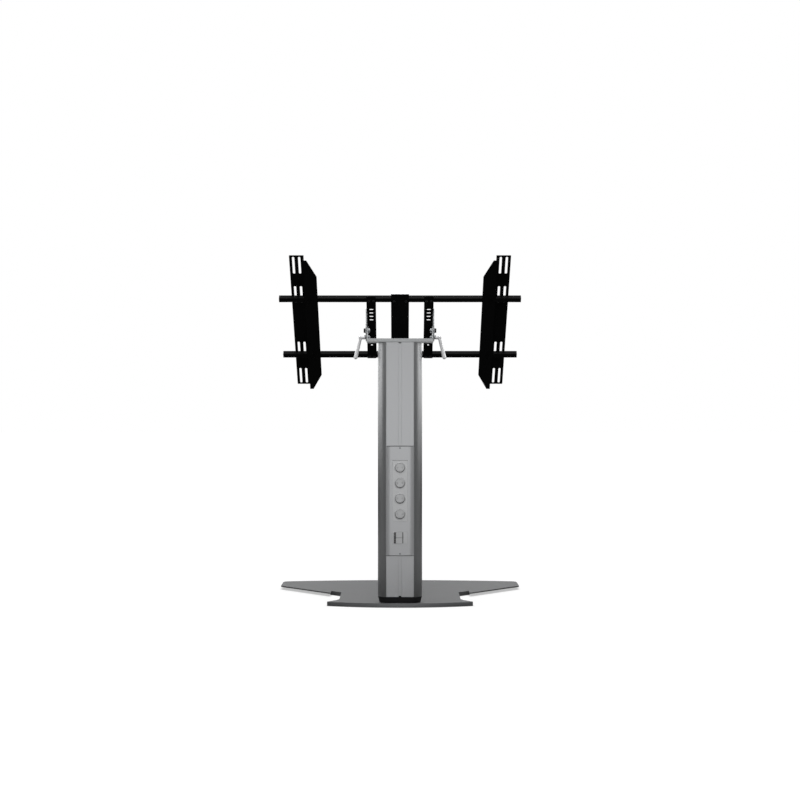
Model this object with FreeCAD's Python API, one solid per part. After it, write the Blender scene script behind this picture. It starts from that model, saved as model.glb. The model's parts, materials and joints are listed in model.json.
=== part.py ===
import FreeCAD, Part
import math
import os

# Floor stand for a large flat screen: steel base, aluminium column with a power
# and data panel, and a tilting frame with two sliding screen arms.
# Frame: +Z up, -Y the audience side, origin on the floor under the column's axis.
# All sizes are in millimetres. "Left" is +X, the left side seen from behind.

V = FreeCAD.Vector

# Base
BASE_TOP = 16.5
BASE_SHEET = 5.0
REAR_MARGIN = 5.0
REAR_HALF_WIDTH = 289.0
REAR_BOW = 50.0
LIP_FLOOR_GAP = 0.3
NOTCH_HALF_WIDTH = 240.0
NOTCH_CORNER_DROP = 62.0
NOTCH_ROUND = 70.0
WING_ROOT_SETBACK = 279.0
RECESS_RUN = 44.0
RECESS_STEP = 60.0
WING_SLANT = 46.0
WING_HALF_SPAN = 505.0
WING_TIP_LENGTH = 150.0
WING_TIP_ROUND = 14.0
WING_FRONT_ROUND = 30.0
FRONT_BOW = 44.0
BASE_CORNER_ROUND = 4.0
RECESS_CORNER_ROUND = 1.0
PAD_RADIUS = 15.0
PAD_INSET = 24.0
FRONT_PAD_SPREAD = 150.0
CENTRE_PAD_RADIUS = 20.0
BACKING_SHEET = 4.0
BACKING_MARGIN = 22.0

# Column
COLUMN_WIDTH = 173.0
COLUMN_DEPTH = 90.0
COLUMN_LENGTH = 1012.0
COLUMN_FLAT = 110.0
COLUMN_WALL = 3.0
CHAMBER_CORNER = 8.0
LEDGE_WIDTH = 3.0
LEDGE_SETBACK = 2.0
SCREW_PORT_RADIUS = 6.5
SCREW_PORT_INSET = 5.0
SCREW_PORT_SPREAD = 24.0
COLUMN_BOLT_RADIUS = 4.0
COLUMN_BOLT_HEAD_RADIUS = 7.0
COLUMN_BOLT_HEAD_HEIGHT = 4.0
COLUMN_BOLT_BITE = 20.0
FOOT_HEIGHT = 24.0
FOOT_INSET = 0.5
FOOT_TAPER = 5.5
FOOT_DUCT_MARGIN = 6.0

# Covers and power panel
COVER_SHEET = 3.0
COVER_LAND = 0.5
COVER_GAP = 0.6
COVER_EDGE = 1.2
COVER_GROOVE_SPREAD = 5.8
COVER_GROOVE_WIDTH = 0.8
COVER_GROOVE_DEPTH = 0.4
CLIP_SHEET = 2.0
CLIP_LENGTH = 8.0
CLIP_HOOK = 1.7
CLIP_CLEARANCE = 0.3
JOINT_GAP = 2.6
PRY_NOTCH_WIDTH = 10.0
PRY_NOTCH_HEIGHT = 4.0
PANEL_TOP_MARGIN = 54.0
PANEL_BOTTOM_MARGIN = 44.5
PANEL_SHEET = 2.5
PANEL_CROWN = 4.5
PANEL_FLANK = 19.0
PANEL_SEAT = 3.3
PANEL_SCREW_INSET = 6.0
PANEL_SCREW_RADIUS = 2.0
PANEL_SCREW_HEAD = 3.6
BRACKET_SHEET = 2.0
BRACKET_HALF_WIDTH = 20.0
BRACKET_FOOT = 12.0
BRACKET_HEIGHT = 11.0

# Power sockets
FASCIA_WIDTH = 60.0
FASCIA_SHEET = 2.5
FASCIA_PROUD = 1.0
FASCIA_ROUND = 3.0
FASCIA_MARGIN = 28.0
FIT_GAP = 0.2
SOCKET_COUNT = 4
SOCKET_PITCH = 60.0
SOCKETS_CENTRE_HEIGHT = 452.5
SOCKET_BODY_WIDTH = 57.0
SOCKET_BODY_GAP = 0.8
SOCKET_WELL_RADIUS = 18.8
SOCKET_WELL_DEPTH = 15.0
SOCKET_RIM = 2.6
SOCKET_RIM_PROUD = 3.5
SOCKET_FLOOR = 3.0
CONTACT_SPREAD = 9.5
CONTACT_HOLE_RADIUS = 2.75
SLEEVE_RADIUS = 3.3
SLEEVE_WALL = 0.7
SLEEVE_LENGTH = 20.0
EARTH_CLIP_WIDTH = 5.0
EARTH_CLIP_SHEET = 1.0
EARTH_CLIP_LENGTH = 11.5
EARTH_CLIP_BULGE = 1.5

# Data outlets
DATA_GAP = 40.5
DATA_FRAME_HEIGHT = 47.0
DATA_WINDOW_WIDTH = 37.4
DATA_WINDOW_HEIGHT = 43.4
DATA_WINDOW_OFFSET = 5.4
DATA_SLOPE = 3.0
DATA_PORT_WIDTH = 7.2
DATA_PORT_HEIGHT = 13.0
DATA_PORT_DEPTH = 10.0
DATA_PORT_INSET = 0.8
DATA_TROUGH_DEPTH = 7.0
DATA_SEAM = 1.2

# Yoke
YOKE_SHEET = 4.0
YOKE_WIDTH = 259.0
YOKE_LIP_HEIGHT = 15.0
YOKE_BEND = 3.0
EAR_BASE_WIDTH = 76.0
EAR_TOP_RADIUS = 17.0
PIVOT_HEIGHT = 47.0
STUD_DROP = 26.0
CABLE_HOLE_WIDTH = 60.0
CABLE_HOLE_INSET = 8.0
CABLE_HOLE_ROUND = 5.0

# Pivot and running clearances
RUNNING_GAP = 0.05
FACE_GAP = 0.15
SCREW_GAP = 0.3
THREAD_BITE = 0.1
PIVOT_RADIUS = 5.0
PIVOT_HEAD_FLATS = 17.0
PIVOT_HEAD_HEIGHT = 6.5
PIVOT_NUT_HEIGHT = 8.0
PIVOT_TAIL = 2.5
WASHER_RADIUS = 10.0
WASHER_SHEET = 1.5
FRICTION_DISC_RADIUS = 14.0
FRICTION_DISC_SHEET = 1.0

# Tilting frame, laid out with the screen vertical and then tilted back
REST_TILT = 45.0
RAIL_SIZE = 20.0
RAIL_WALL = 2.0
RAIL_CORNER = 2.0
RAIL_LENGTH = 934.0
RAIL_SPACING = 295.5
RAIL_UPPER_HEIGHT = 107.0
RAIL_SETBACK = 56.0
RAIL_CAP_SHEET = 3.0
RAIL_CAP_PLUG = 12.0
FRAME_SHEET = 3.0
UPRIGHT_FLANGE = 37.0
UPRIGHT_TOP_OVERHANG = 22.0
UPRIGHT_BOTTOM_OVERHANG = 10.0
UPRIGHT_CORNER = 6.0
UPRIGHT_SLOT_COUNT = 4
UPRIGHT_SLOT_PITCH = 18.0
UPRIGHT_SLOT_LENGTH = 16.0
UPRIGHT_SLOT_WIDTH = 6.5
UPRIGHT_SLOT_TOP = 62.0
UPRIGHT_HOLE_RADIUS = 4.0
UPRIGHT_HOLE_LIFT = 62.0
CHEEK_RADIUS = 42.0
CHEEK_TOP = 65.0
CHEEK_BOTTOM = 95.0
TILT_RANGE = 45.0
TILT_SLOT_MARGIN = 1.5
SPINE_WIDTH = 70.0
SPINE_SHEET = 4.0
SPINE_TOP_OVERHANG = 36.0
SPINE_BOTTOM_OVERHANG = 22.0
SPINE_CAP_SHEET = 2.5
SPINE_CAP_DEPTH = 6.0
SPINE_SCREW_SPREAD = 23.0
FRAME_SCREW_RADIUS = 3.0
FRAME_SCREW_HEAD = 5.25
FRAME_SCREW_HEAD_HEIGHT = 3.3
FRAME_SCREW_LENGTH = 12.0
UPRIGHT_SCREW_SPREAD = 9.0

# Screen arms
ARM_SHEET = 3.0
ARM_WEB_X = 369.0
ARM_FLANGE_WIDTH = 52.5
ARM_FACE_WIDTH = 50.3
ARM_LENGTH = 679.5
ARM_CENTRE_HEIGHT = -25.75
ARM_END_FLAT = 14.0
ARM_END_SLANT = 80.0
ARM_CORNER = 3.0
ARM_FACE_DROP = 6.0
RAIL_CLEARANCE = 0.3
ARM_SLOT_WIDTH = 9.0
ARM_SLOT_LENGTH = 84.0
ARM_SLOT_INSET = 14.0
ARM_SLOT_SPACING = 23.0
ARM_SLOT_OFFSETS = (146.0, 291.75)
CLAMP_SCREW_INSET = 16.0
CLAMP_SCREW_RADIUS = 3.0
CLAMP_SCREW_HEAD = 6.0
CLAMP_SCREW_HEAD_HEIGHT = 5.0

# Clamping levers
STUD_RADIUS = 4.0
STUD_TAIL = 3.0
STUD_FLANGE_RADIUS = 8.2
STUD_FLANGE_SHEET = 2.2
LEVER_NUT_FLATS = 13.0
LEVER_NUT_HEIGHT = 6.5
SERRATION_TEETH = 16
SERRATION_RADIUS = 5.6
SERRATION_DEPTH = 0.8
SERRATION_LENGTH = 3.5
SERRATION_GAP = 0.15
PILOT_RADIUS = 4.4
PILOT_LENGTH = 4.5
HUB_RADIUS = 8.4
HUB_TIP_RADIUS = 7.6
HUB_LENGTH = 25.5
HUB_WEB = 1.5
HUB_COUNTERBORE_RADIUS = 5.4
LEVER_LIFT = 4.5
LEVER_SCREW_RADIUS = 2.0
LEVER_SCREW_HEAD_RADIUS = 4.6
LEVER_SCREW_HEAD_HEIGHT = 2.5
LEVER_SCREW_SUNK = 0.8
LEVER_SCREW_SLOT_WIDTH = 1.4
LEVER_SCREW_SLOT_DEPTH = 1.0
LEVER_SCREW_BITE = 4.5
SPRING_RADIUS = 4.6
SPRING_WIRE = 1.0
HANDLE_REACH = 86.0
HANDLE_LEAN = 13.5
HANDLE_ROOT_RADIUS = 6.8
HANDLE_TIP_RADIUS = 7.6

# Places worked out from the sizes above
BASE_UNDER = BASE_TOP - BASE_SHEET
COLUMN_TOP = BASE_TOP + COLUMN_LENGTH
HALF_DEPTH = COLUMN_DEPTH / 2
RECESS_HALF = COLUMN_FLAT / 2 - COVER_LAND
COVER_HALF = RECESS_HALF - COVER_GAP
COVER_SEAT = HALF_DEPTH - COVER_SHEET
DUCT_HALF = RECESS_HALF - LEDGE_SETBACK
LEDGE_HALF = DUCT_HALF - LEDGE_WIDTH
LEDGE_UNDER = COVER_SEAT - COLUMN_WALL
WEB_FACE = COLUMN_WALL / 2
PORT_X = DUCT_HALF + COLUMN_WALL + SCREW_PORT_INSET
FOOT_TOP = BASE_TOP + FOOT_HEIGHT
PANEL_FACE = HALF_DEPTH + PANEL_CROWN - COVER_EDGE / 2
FASCIA_FACE = PANEL_FACE + FASCIA_PROUD
FASCIA_BACK = FASCIA_FACE - FASCIA_SHEET
SOCKET_HEIGHTS = [
    SOCKETS_CENTRE_HEIGHT + SOCKET_PITCH * (i - (SOCKET_COUNT - 1) / 2) for i in range(SOCKET_COUNT)
]
FASCIA_HEIGHT = SOCKET_PITCH * (SOCKET_COUNT - 1) + 2 * FASCIA_MARGIN
FASCIA_BOTTOM = SOCKETS_CENTRE_HEIGHT - FASCIA_HEIGHT / 2
DATA_CENTRE_HEIGHT = FASCIA_BOTTOM - DATA_GAP - DATA_FRAME_HEIGHT / 2
PANEL_TOP = SOCKETS_CENTRE_HEIGHT + FASCIA_HEIGHT / 2 + PANEL_TOP_MARGIN
PANEL_BOTTOM = DATA_CENTRE_HEIGHT - DATA_FRAME_HEIGHT / 2 - PANEL_BOTTOM_MARGIN
PIVOT_Z = COLUMN_TOP + PIVOT_HEIGHT
STUD_Z = PIVOT_Z - STUD_DROP
EAR_OUT = YOKE_WIDTH / 2
EAR_IN = EAR_OUT - YOKE_SHEET
CHEEK_IN = EAR_OUT + FRICTION_DISC_SHEET + FACE_GAP
CHEEK_OUT = CHEEK_IN + FRAME_SHEET
RAIL_LOWER_HEIGHT = RAIL_UPPER_HEIGHT - RAIL_SPACING
RAIL_HEIGHTS = (RAIL_UPPER_HEIGHT, RAIL_LOWER_HEIGHT)
UPRIGHT_MIDDLE = CHEEK_IN - UPRIGHT_FLANGE / 2
ARM_FRONT = -RAIL_SETBACK - RAIL_SIZE - RAIL_CLEARANCE
ARM_REAR = -RAIL_SETBACK + RAIL_CLEARANCE
CLAMP_SCREW_X = ARM_WEB_X - CLAMP_SCREW_INSET
SLOT_COLUMNS = (ARM_WEB_X + ARM_SLOT_INSET, ARM_WEB_X + ARM_SLOT_INSET + ARM_SLOT_SPACING)
STUD_SEAT = CHEEK_OUT + FACE_GAP
HUB_START = STUD_SEAT + STUD_FLANGE_SHEET + FACE_GAP


def rounded_face(corners):
    """Face in the XY plane from corners (x, y, radius) taken in order round its outline."""
    count = len(corners)
    points = [V(x, y, 0) for x, y, radius in corners]
    stretches = []
    for i in range(count):
        corner, radius = points[i], corners[i][2]
        if radius == 0:
            stretches.append((corner, None, corner))
            continue
        before = (points[i - 1] - corner).normalize()
        after = (points[(i + 1) % count] - corner).normalize()
        half = before.getAngle(after) / 2
        reach = radius / math.tan(half)
        inward = (before + after).normalize()
        middle = corner + inward * (radius / math.sin(half) - radius)
        stretches.append((corner + before * reach, middle, corner + after * reach))
    edges = []
    for i in range(count):
        first, middle, last = stretches[i]
        if middle is not None:
            edges.append(Part.Arc(first, middle, last).toShape())
        following = stretches[(i + 1) % count][0]
        if last.distanceToPoint(following) > 1e-6:
            edges.append(Part.LineSegment(last, following).toShape())
    return Part.Face(Part.Wire(edges))


def face_along_z(face, z0, z1):
    """Extrude a face of the XY plane from z0 to z1."""
    solid = face.extrude(V(0, 0, z1 - z0))
    solid.translate(V(0, 0, z0))
    return solid


def face_along_x(face, x0, x1):
    """Extrude a face drawn in (y, z) from x0 to x1."""
    solid = face.extrude(V(0, 0, x1 - x0))
    solid.rotate(V(0, 0, 0), V(1, 1, 1), 120)
    solid.translate(V(x0, 0, 0))
    return solid


def face_along_y(face, y0, y1):
    """Extrude a face drawn in (x, z) from y0 to y1."""
    solid = face.extrude(V(0, 0, y1 - y0))
    solid.rotate(V(0, 0, 0), V(1, 0, 0), 90)
    solid.translate(V(0, y1, 0))
    return solid


def rectangle(x0, x1, y0, y1, radius=0.0):
    """Corners of a rectangle, all with one radius."""
    return [(x0, y0, radius), (x1, y0, radius), (x1, y1, radius), (x0, y1, radius)]


def box(x0, x1, y0, y1, z0, z1):
    """Box between two corners."""
    return Part.makeBox(x1 - x0, y1 - y0, z1 - z0, V(x0, y0, z0))


def rod(axis, start, end, radius, a, b):
    """Cylinder along X, Y or Z from start to end; a and b are its centre on the other two axes."""
    origin = {"x": V(start, a, b), "y": V(a, start, b), "z": V(a, b, start)}[axis]
    direction = {"x": V(1, 0, 0), "y": V(0, 1, 0), "z": V(0, 0, 1)}[axis]
    return Part.makeCylinder(radius, end - start, origin, direction)


def hexagon_x(x0, x1, flats, y, z):
    """Hexagonal prism along X, across the given flats."""
    reach = flats / math.sqrt(3)
    corners = [
        (y + reach * math.cos(math.radians(60 * i)), z + reach * math.sin(math.radians(60 * i)), 0.0)
        for i in range(6)
    ]
    return face_along_x(rounded_face(corners), x0, x1)


def mirrored(shape):
    """The same shape on the other side of the centre plane."""
    return shape.mirror(V(0, 0, 0), V(1, 0, 0))


def both_sides(shape):
    """The shape and its mirror image, as separate solids."""
    return [shape, mirrored(shape)]


def joined(shapes):
    """One solid from shapes that meet."""
    return shapes[0].multiFuse(shapes[1:]).removeSplitter()


def without(shape, tools):
    """The shape with every tool cut away in turn."""
    for tool in tools:
        shape = shape.cut(tool)
    return shape


def tangent_outline(base_a, base_b, radius, centre):
    """Face in the XY plane: the line from base_a to base_b joined by tangents to a round end."""

    def touch(point, turn):
        offset = point - centre
        angle = math.atan2(offset.y, offset.x) + turn * math.acos(radius / offset.Length)
        return centre + V(math.cos(angle), math.sin(angle), 0) * radius

    first = touch(base_b, 1)
    last = touch(base_a, -1)
    away = (centre - (base_a + base_b) * 0.5).normalize()
    arc = Part.Arc(first, centre + away * radius, last).toShape()
    lines = [(base_a, base_b), (base_b, first), (last, base_a)]
    edges = [Part.LineSegment(start, end).toShape() for start, end in lines]
    return Part.Face(Part.Wire([edges[0], edges[1], arc, edges[2]]))


def tilted(shape):
    """Turn a piece of the tilting frame from upright to its place at rest."""
    shape.translate(V(0, 0, PIVOT_Z))
    shape.rotate(V(0, 0, PIVOT_Z), V(1, 0, 0), -REST_TILT)
    return shape


# Base


def base_corners():
    """Left half of the base's outline, from the rear corner to the front one."""
    rear = HALF_DEPTH + REAR_MARGIN - REAR_BOW
    root = -WING_ROOT_SETBACK
    recess_x = NOTCH_HALF_WIDTH + RECESS_RUN
    wing_start = root - RECESS_RUN + RECESS_STEP
    tip = wing_start - (WING_HALF_SPAN - recess_x) * math.tan(math.radians(WING_SLANT))
    return [
        (REAR_HALF_WIDTH, rear, BASE_CORNER_ROUND),
        (NOTCH_HALF_WIDTH, rear - NOTCH_CORNER_DROP, NOTCH_ROUND),
        (NOTCH_HALF_WIDTH, root, RECESS_CORNER_ROUND),
        (recess_x, root - RECESS_RUN, RECESS_CORNER_ROUND),
        (recess_x, wing_start, BASE_CORNER_ROUND),
        (WING_HALF_SPAN, tip, WING_TIP_ROUND),
        (WING_HALF_SPAN, tip - WING_TIP_LENGTH, 0.0),
    ]


def bowed_cutter(half_width, edge_y, bow, z0, z1):
    """Cylinder whose edge runs through the two corners and bows outwards between them."""
    radius = (half_width ** 2 + bow ** 2) / (2 * abs(bow))
    centre_y = edge_y + bow - math.copysign(radius, bow)
    return radius, centre_y, rod("z", z0, z1, radius, 0, centre_y)


def base_plate():
    """Folded sheet: flat plate with a bowed rear lip and a short flange beside each notch."""
    left = base_corners()
    right = [(-x, y, radius) for x, y, radius in reversed(left)]
    rear_x, rear_y, rear_round = left[0]
    front_x, front_y = left[-1][:2]
    plate = face_along_z(rounded_face(left + right), BASE_UNDER, BASE_TOP)
    rear_radius, rear_centre, rear_disc = bowed_cutter(rear_x, rear_y, REAR_BOW, LIP_FLOOR_GAP, BASE_TOP)
    front_radius, front_centre, front_disc = bowed_cutter(front_x, front_y, -FRONT_BOW, BASE_UNDER, BASE_TOP)
    lip_end = rear_x - rear_round
    rear_bow = rear_disc.common(
        box(-lip_end, lip_end, rear_y - BASE_SHEET, rear_y + 2 * REAR_BOW, LIP_FLOOR_GAP, BASE_TOP)
    )
    inner_disc = rod("z", 0, BASE_UNDER, rear_radius - BASE_SHEET, 0, rear_centre)
    front_bow = front_disc.common(
        box(-front_x, front_x, front_y - 2 * FRONT_BOW, front_y + BASE_SHEET, BASE_UNDER, BASE_TOP)
    )
    sheet = joined([plate, rear_bow.cut(inner_disc), front_bow] + recess_flanges())
    tips = [
        edge for edge in sheet.Edges
        if edge.BoundBox.XLength + edge.BoundBox.YLength < 0.01
        and abs(edge.BoundBox.YMin - front_y) < 0.01
    ]
    return sheet.makeFillet(WING_FRONT_ROUND, tips)


def recess_flanges():
    """The folded-down flange along each notch's slanted end."""
    corners = base_corners()
    start_x, start_y = corners[2][:2]
    end_x, end_y = corners[3][:2]
    slant = V(end_x - start_x, end_y - start_y, 0).normalize()
    inward = V(slant.y, -slant.x, 0)
    if inward.y > 0:
        inward = inward * -1
    first = V(start_x, start_y, 0) + slant * RECESS_CORNER_ROUND
    last = V(end_x, end_y, 0) + slant * BASE_SHEET
    points = [first, last, last + inward * BASE_SHEET, first + inward * BASE_SHEET]
    face = rounded_face([(point.x, point.y, 0.0) for point in points])
    flange = face_along_z(face, LIP_FLOOR_GAP, BASE_TOP)
    return both_sides(flange)


def pad_places():
    """Centres of the pads under the left half of the base."""
    corners = base_corners()
    rear_x, rear_y, rear_round = corners[0]
    tip_x, tip_front, tip_round = corners[-1]
    rear_pad = V(NOTCH_HALF_WIDTH - PAD_INSET / 4, rear_y - PAD_INSET / 2, 0)
    wing_pad = V(tip_x - PAD_INSET - PAD_RADIUS / 2, tip_front + WING_TIP_LENGTH / 2, 0)
    front_pad = V(FRONT_PAD_SPREAD, tip_front - FRONT_BOW + PAD_INSET + BASE_SHEET, 0)
    return [rear_pad, wing_pad, front_pad]


def base_pads():
    """Rubber pads: three on each side and one under the column."""
    pads = [rod("z", 0, BASE_UNDER - BACKING_SHEET, CENTRE_PAD_RADIUS, 0, 0)]
    for place in pad_places():
        pads += both_sides(rod("z", 0, BASE_UNDER, PAD_RADIUS, place.x, place.y))
    return [pad.makeChamfer(1.0, [edge for edge in pad.Edges if edge.BoundBox.ZMax < 0.01]) for pad in pads]


def port_places():
    """Centres of the column's four screw ports."""
    return [(side * PORT_X, end * SCREW_PORT_SPREAD) for side in (-1, 1) for end in (-1, 1)]


def backing_plate():
    """Steel plate under the base that spreads the column bolts' load."""
    half_x = PORT_X + BACKING_MARGIN
    half_y = SCREW_PORT_SPREAD + BACKING_MARGIN
    face = rounded_face(rectangle(-half_x, half_x, -half_y, REAR_MARGIN + HALF_DEPTH - 2 * BASE_SHEET, 4.0))
    plate = face_along_z(face, BASE_UNDER - BACKING_SHEET, BASE_UNDER)
    return without(plate, bolt_holes(BASE_UNDER - BACKING_SHEET, BASE_UNDER))


def bolt_holes(z0, z1):
    """Clearance holes for the column bolts through a plate."""
    return [rod("z", z0, z1, COLUMN_BOLT_RADIUS + SCREW_GAP, x, y) for x, y in port_places()]


def column_bolts():
    """Low-headed bolts from under the base through the foot into the column's screw ports."""
    seat = BASE_UNDER - BACKING_SHEET
    bolts = []
    for x, y in port_places():
        head = rod("z", seat - COLUMN_BOLT_HEAD_HEIGHT, seat, COLUMN_BOLT_HEAD_RADIUS, x, y)
        shank = rod("z", seat, FOOT_TOP + COLUMN_BOLT_BITE, COLUMN_BOLT_RADIUS, x, y)
        bolts.append(joined([head, shank]))
    return bolts


# Column


def column_outline(grow=0.0):
    """Oval outline of the column, grown outwards: flat front and rear between two arcs."""
    bulge = (COLUMN_WIDTH - COLUMN_FLAT) / 2
    radius = (HALF_DEPTH ** 2 + bulge ** 2) / (2 * bulge)
    centre_x = COLUMN_WIDTH / 2 - radius
    half_y = HALF_DEPTH + grow
    half_x = centre_x + math.sqrt((radius + grow) ** 2 - half_y ** 2)
    side = COLUMN_WIDTH / 2 + grow
    edges = [
        Part.LineSegment(V(-half_x, -half_y, 0), V(half_x, -half_y, 0)),
        Part.Arc(V(half_x, -half_y, 0), V(side, 0, 0), V(half_x, half_y, 0)),
        Part.LineSegment(V(half_x, half_y, 0), V(-half_x, half_y, 0)),
        Part.Arc(V(-half_x, half_y, 0), V(-side, 0, 0), V(-half_x, -half_y, 0)),
    ]
    return Part.Face(Part.Wire([edge.toShape() for edge in edges]))


def column_profile():
    """Extrusion with two closed side chambers, a middle web and a cable duct on each face."""
    body = face_along_z(column_outline(), FOOT_TOP, COLUMN_TOP)
    chamber_in = DUCT_HALF + COLUMN_WALL
    chamber_y = HALF_DEPTH - COLUMN_WALL
    chamber_corners = [
        (chamber_in, CHAMBER_CORNER - chamber_y, 0.0),
        (chamber_in + CHAMBER_CORNER, -chamber_y, 0.0),
        (COLUMN_WIDTH, -chamber_y, 0.0),
        (COLUMN_WIDTH, chamber_y, 0.0),
        (chamber_in + CHAMBER_CORNER, chamber_y, 0.0),
        (chamber_in, chamber_y - CHAMBER_CORNER, 0.0),
    ]
    hollow = face_along_z(column_outline(-COLUMN_WALL), FOOT_TOP, COLUMN_TOP)
    chamber = hollow.common(face_along_z(rounded_face(chamber_corners), FOOT_TOP, COLUMN_TOP))
    for end in (-1, 1):
        port_y = end * SCREW_PORT_SPREAD
        chamber = chamber.cut(rod("z", FOOT_TOP, COLUMN_TOP, SCREW_PORT_RADIUS, PORT_X, port_y))
    duct_corners = [
        (-DUCT_HALF, WEB_FACE, 0.0),
        (DUCT_HALF, WEB_FACE, 0.0),
        (DUCT_HALF, LEDGE_UNDER, 0.0),
        (LEDGE_HALF, LEDGE_UNDER, 0.0),
        (LEDGE_HALF, COVER_SEAT, 0.0),
        (RECESS_HALF, COVER_SEAT, 0.0),
        (RECESS_HALF, COLUMN_DEPTH, 0.0),
        (-RECESS_HALF, COLUMN_DEPTH, 0.0),
        (-RECESS_HALF, COVER_SEAT, 0.0),
        (-LEDGE_HALF, COVER_SEAT, 0.0),
        (-LEDGE_HALF, LEDGE_UNDER, 0.0),
        (-DUCT_HALF, LEDGE_UNDER, 0.0),
    ]
    duct = face_along_z(rounded_face(duct_corners), FOOT_TOP, COLUMN_TOP)
    threads = [
        rod("z", FOOT_TOP, COLUMN_TOP, COLUMN_BOLT_RADIUS - THREAD_BITE, x, y) for x, y in port_places()
    ]
    return without(body, both_sides(chamber) + [duct, turned_about_z(duct)] + threads)


def turned_about_z(shape):
    """The shape turned half a turn about the column's axis."""
    copy = shape.copy()
    copy.rotate(V(0, 0, 0), V(0, 0, 1), 180)
    return copy


def column_foot():
    """Cast foot between the base and the column, tapered to the bottom and open under the ducts."""
    bottom = column_outline(-FOOT_INSET - FOOT_TAPER).OuterWire
    bottom.translate(V(0, 0, BASE_TOP))
    top = column_outline(-FOOT_INSET).OuterWire
    top.translate(V(0, 0, FOOT_TOP))
    block = Part.makeLoft([bottom, top], True, True)
    half_x = DUCT_HALF - FOOT_DUCT_MARGIN
    duct = box(-half_x, half_x, FOOT_DUCT_MARGIN, LEDGE_UNDER - FOOT_DUCT_MARGIN / 2, BASE_TOP, FOOT_TOP)
    return without(block, [duct, turned_about_z(duct)] + bolt_holes(BASE_TOP, FOOT_TOP))


def clip_leg(z0, z1):
    """Snap leg on the back of a cover, hooked under the duct's ledge."""
    outer = LEDGE_HALF - CLIP_CLEARANCE
    hook_top = LEDGE_UNDER - CLIP_CLEARANCE
    hook_low = COVER_SEAT - CLIP_LENGTH
    corners = [
        (outer - CLIP_SHEET, COVER_SEAT, 0.0),
        (outer - CLIP_SHEET, hook_low, 0.0),
        (outer + CLIP_HOOK, (hook_low + hook_top) / 2, 0.0),
        (outer + CLIP_HOOK, hook_top, 0.0),
        (outer, hook_top, 0.0),
        (outer, COVER_SEAT, 0.0),
    ]
    return face_along_z(rounded_face(corners), z0, z1)


def cover(z0, z1):
    """Clip-on cover strip with softened edges and two fine grooves along its middle."""
    corners = [
        (-COVER_HALF, COVER_SEAT, 0.0),
        (COVER_HALF, COVER_SEAT, 0.0),
        (COVER_HALF, HALF_DEPTH, COVER_EDGE),
        (-COVER_HALF, HALF_DEPTH, COVER_EDGE),
    ]
    plate = face_along_z(rounded_face(corners), z0, z1)
    strip = joined([plate] + both_sides(clip_leg(z0, z1)))
    half = COVER_GROOVE_WIDTH / 2
    groove_corners = [
        (COVER_GROOVE_SPREAD - half, HALF_DEPTH, 0.0),
        (COVER_GROOVE_SPREAD + half, HALF_DEPTH, 0.0),
        (COVER_GROOVE_SPREAD, HALF_DEPTH - COVER_GROOVE_DEPTH, 0.0),
    ]
    return without(strip, both_sides(face_along_z(rounded_face(groove_corners), z0, z1)))


def pry_notch(z0, z1):
    """Cutting solid of a notch for lifting a cover off."""
    half = PRY_NOTCH_WIDTH / 2
    return box(-half, half, COVER_SEAT, HALF_DEPTH, z0, z1)


def rear_cover_upper():
    """Cover from the power panel up to the yoke, with a pry notch at its top."""
    strip = cover(PANEL_TOP + JOINT_GAP, COLUMN_TOP)
    return strip.cut(pry_notch(COLUMN_TOP - PRY_NOTCH_HEIGHT, COLUMN_TOP))


def rear_cover_lower():
    """Cover from the foot up to the power panel, with a pry notch at its bottom."""
    foot = FOOT_TOP + COVER_GAP
    strip = cover(foot, PANEL_BOTTOM - JOINT_GAP)
    return strip.cut(pry_notch(foot, foot + PRY_NOTCH_HEIGHT))


def front_cover():
    """Cover over the whole front duct."""
    return turned_about_z(cover(FOOT_TOP + COVER_GAP, COLUMN_TOP))


# Power and data panel


def panel_section(offset, half, low):
    """Face of the panel's crowned section, drawn inside its outer surface by the offset."""
    flat = COVER_HALF - PANEL_FLANK
    rise = PANEL_FACE - (HALF_DEPTH - COVER_EDGE / 2)
    radius = (PANEL_FLANK ** 2 + rise ** 2) / (2 * rise)
    centre = V(flat, PANEL_FACE - radius, 0)
    reach = radius - offset
    edge_y = centre.y + math.sqrt(reach ** 2 - (half - flat) ** 2)
    bend = math.asin((half - flat) / reach) / 2
    middle = centre + V(math.sin(bend), math.cos(bend), 0) * reach
    top = PANEL_FACE - offset
    edges = [
        Part.LineSegment(V(-half, low, 0), V(half, low, 0)),
        Part.LineSegment(V(half, low, 0), V(half, edge_y, 0)),
        Part.Arc(V(half, edge_y, 0), middle, V(flat, top, 0)),
        Part.LineSegment(V(flat, top, 0), V(-flat, top, 0)),
        Part.Arc(V(-flat, top, 0), V(-middle.x, middle.y, 0), V(-half, edge_y, 0)),
        Part.LineSegment(V(-half, edge_y, 0), V(-half, low, 0)),
    ]
    return Part.Face(Part.Wire([edge.toShape() for edge in edges]))


def panel_screw_heights():
    """Heights of the panel's top and bottom screws."""
    return (PANEL_TOP - PANEL_SCREW_INSET, PANEL_BOTTOM + PANEL_SCREW_INSET)


def countersink(z, gap):
    """Cone and shank of a panel screw, grown by the gap."""
    depth = PANEL_SCREW_HEAD - PANEL_SCREW_RADIUS
    cone = Part.makeCone(
        PANEL_SCREW_RADIUS + gap, PANEL_SCREW_HEAD + gap, depth, V(0, PANEL_FACE - depth, z), V(0, 1, 0)
    )
    shank = rod("y", PANEL_FACE - PANEL_SHEET - 2 * BRACKET_SHEET, PANEL_FACE, PANEL_SCREW_RADIUS + gap, 0, z)
    return joined([cone, shank])


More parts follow.
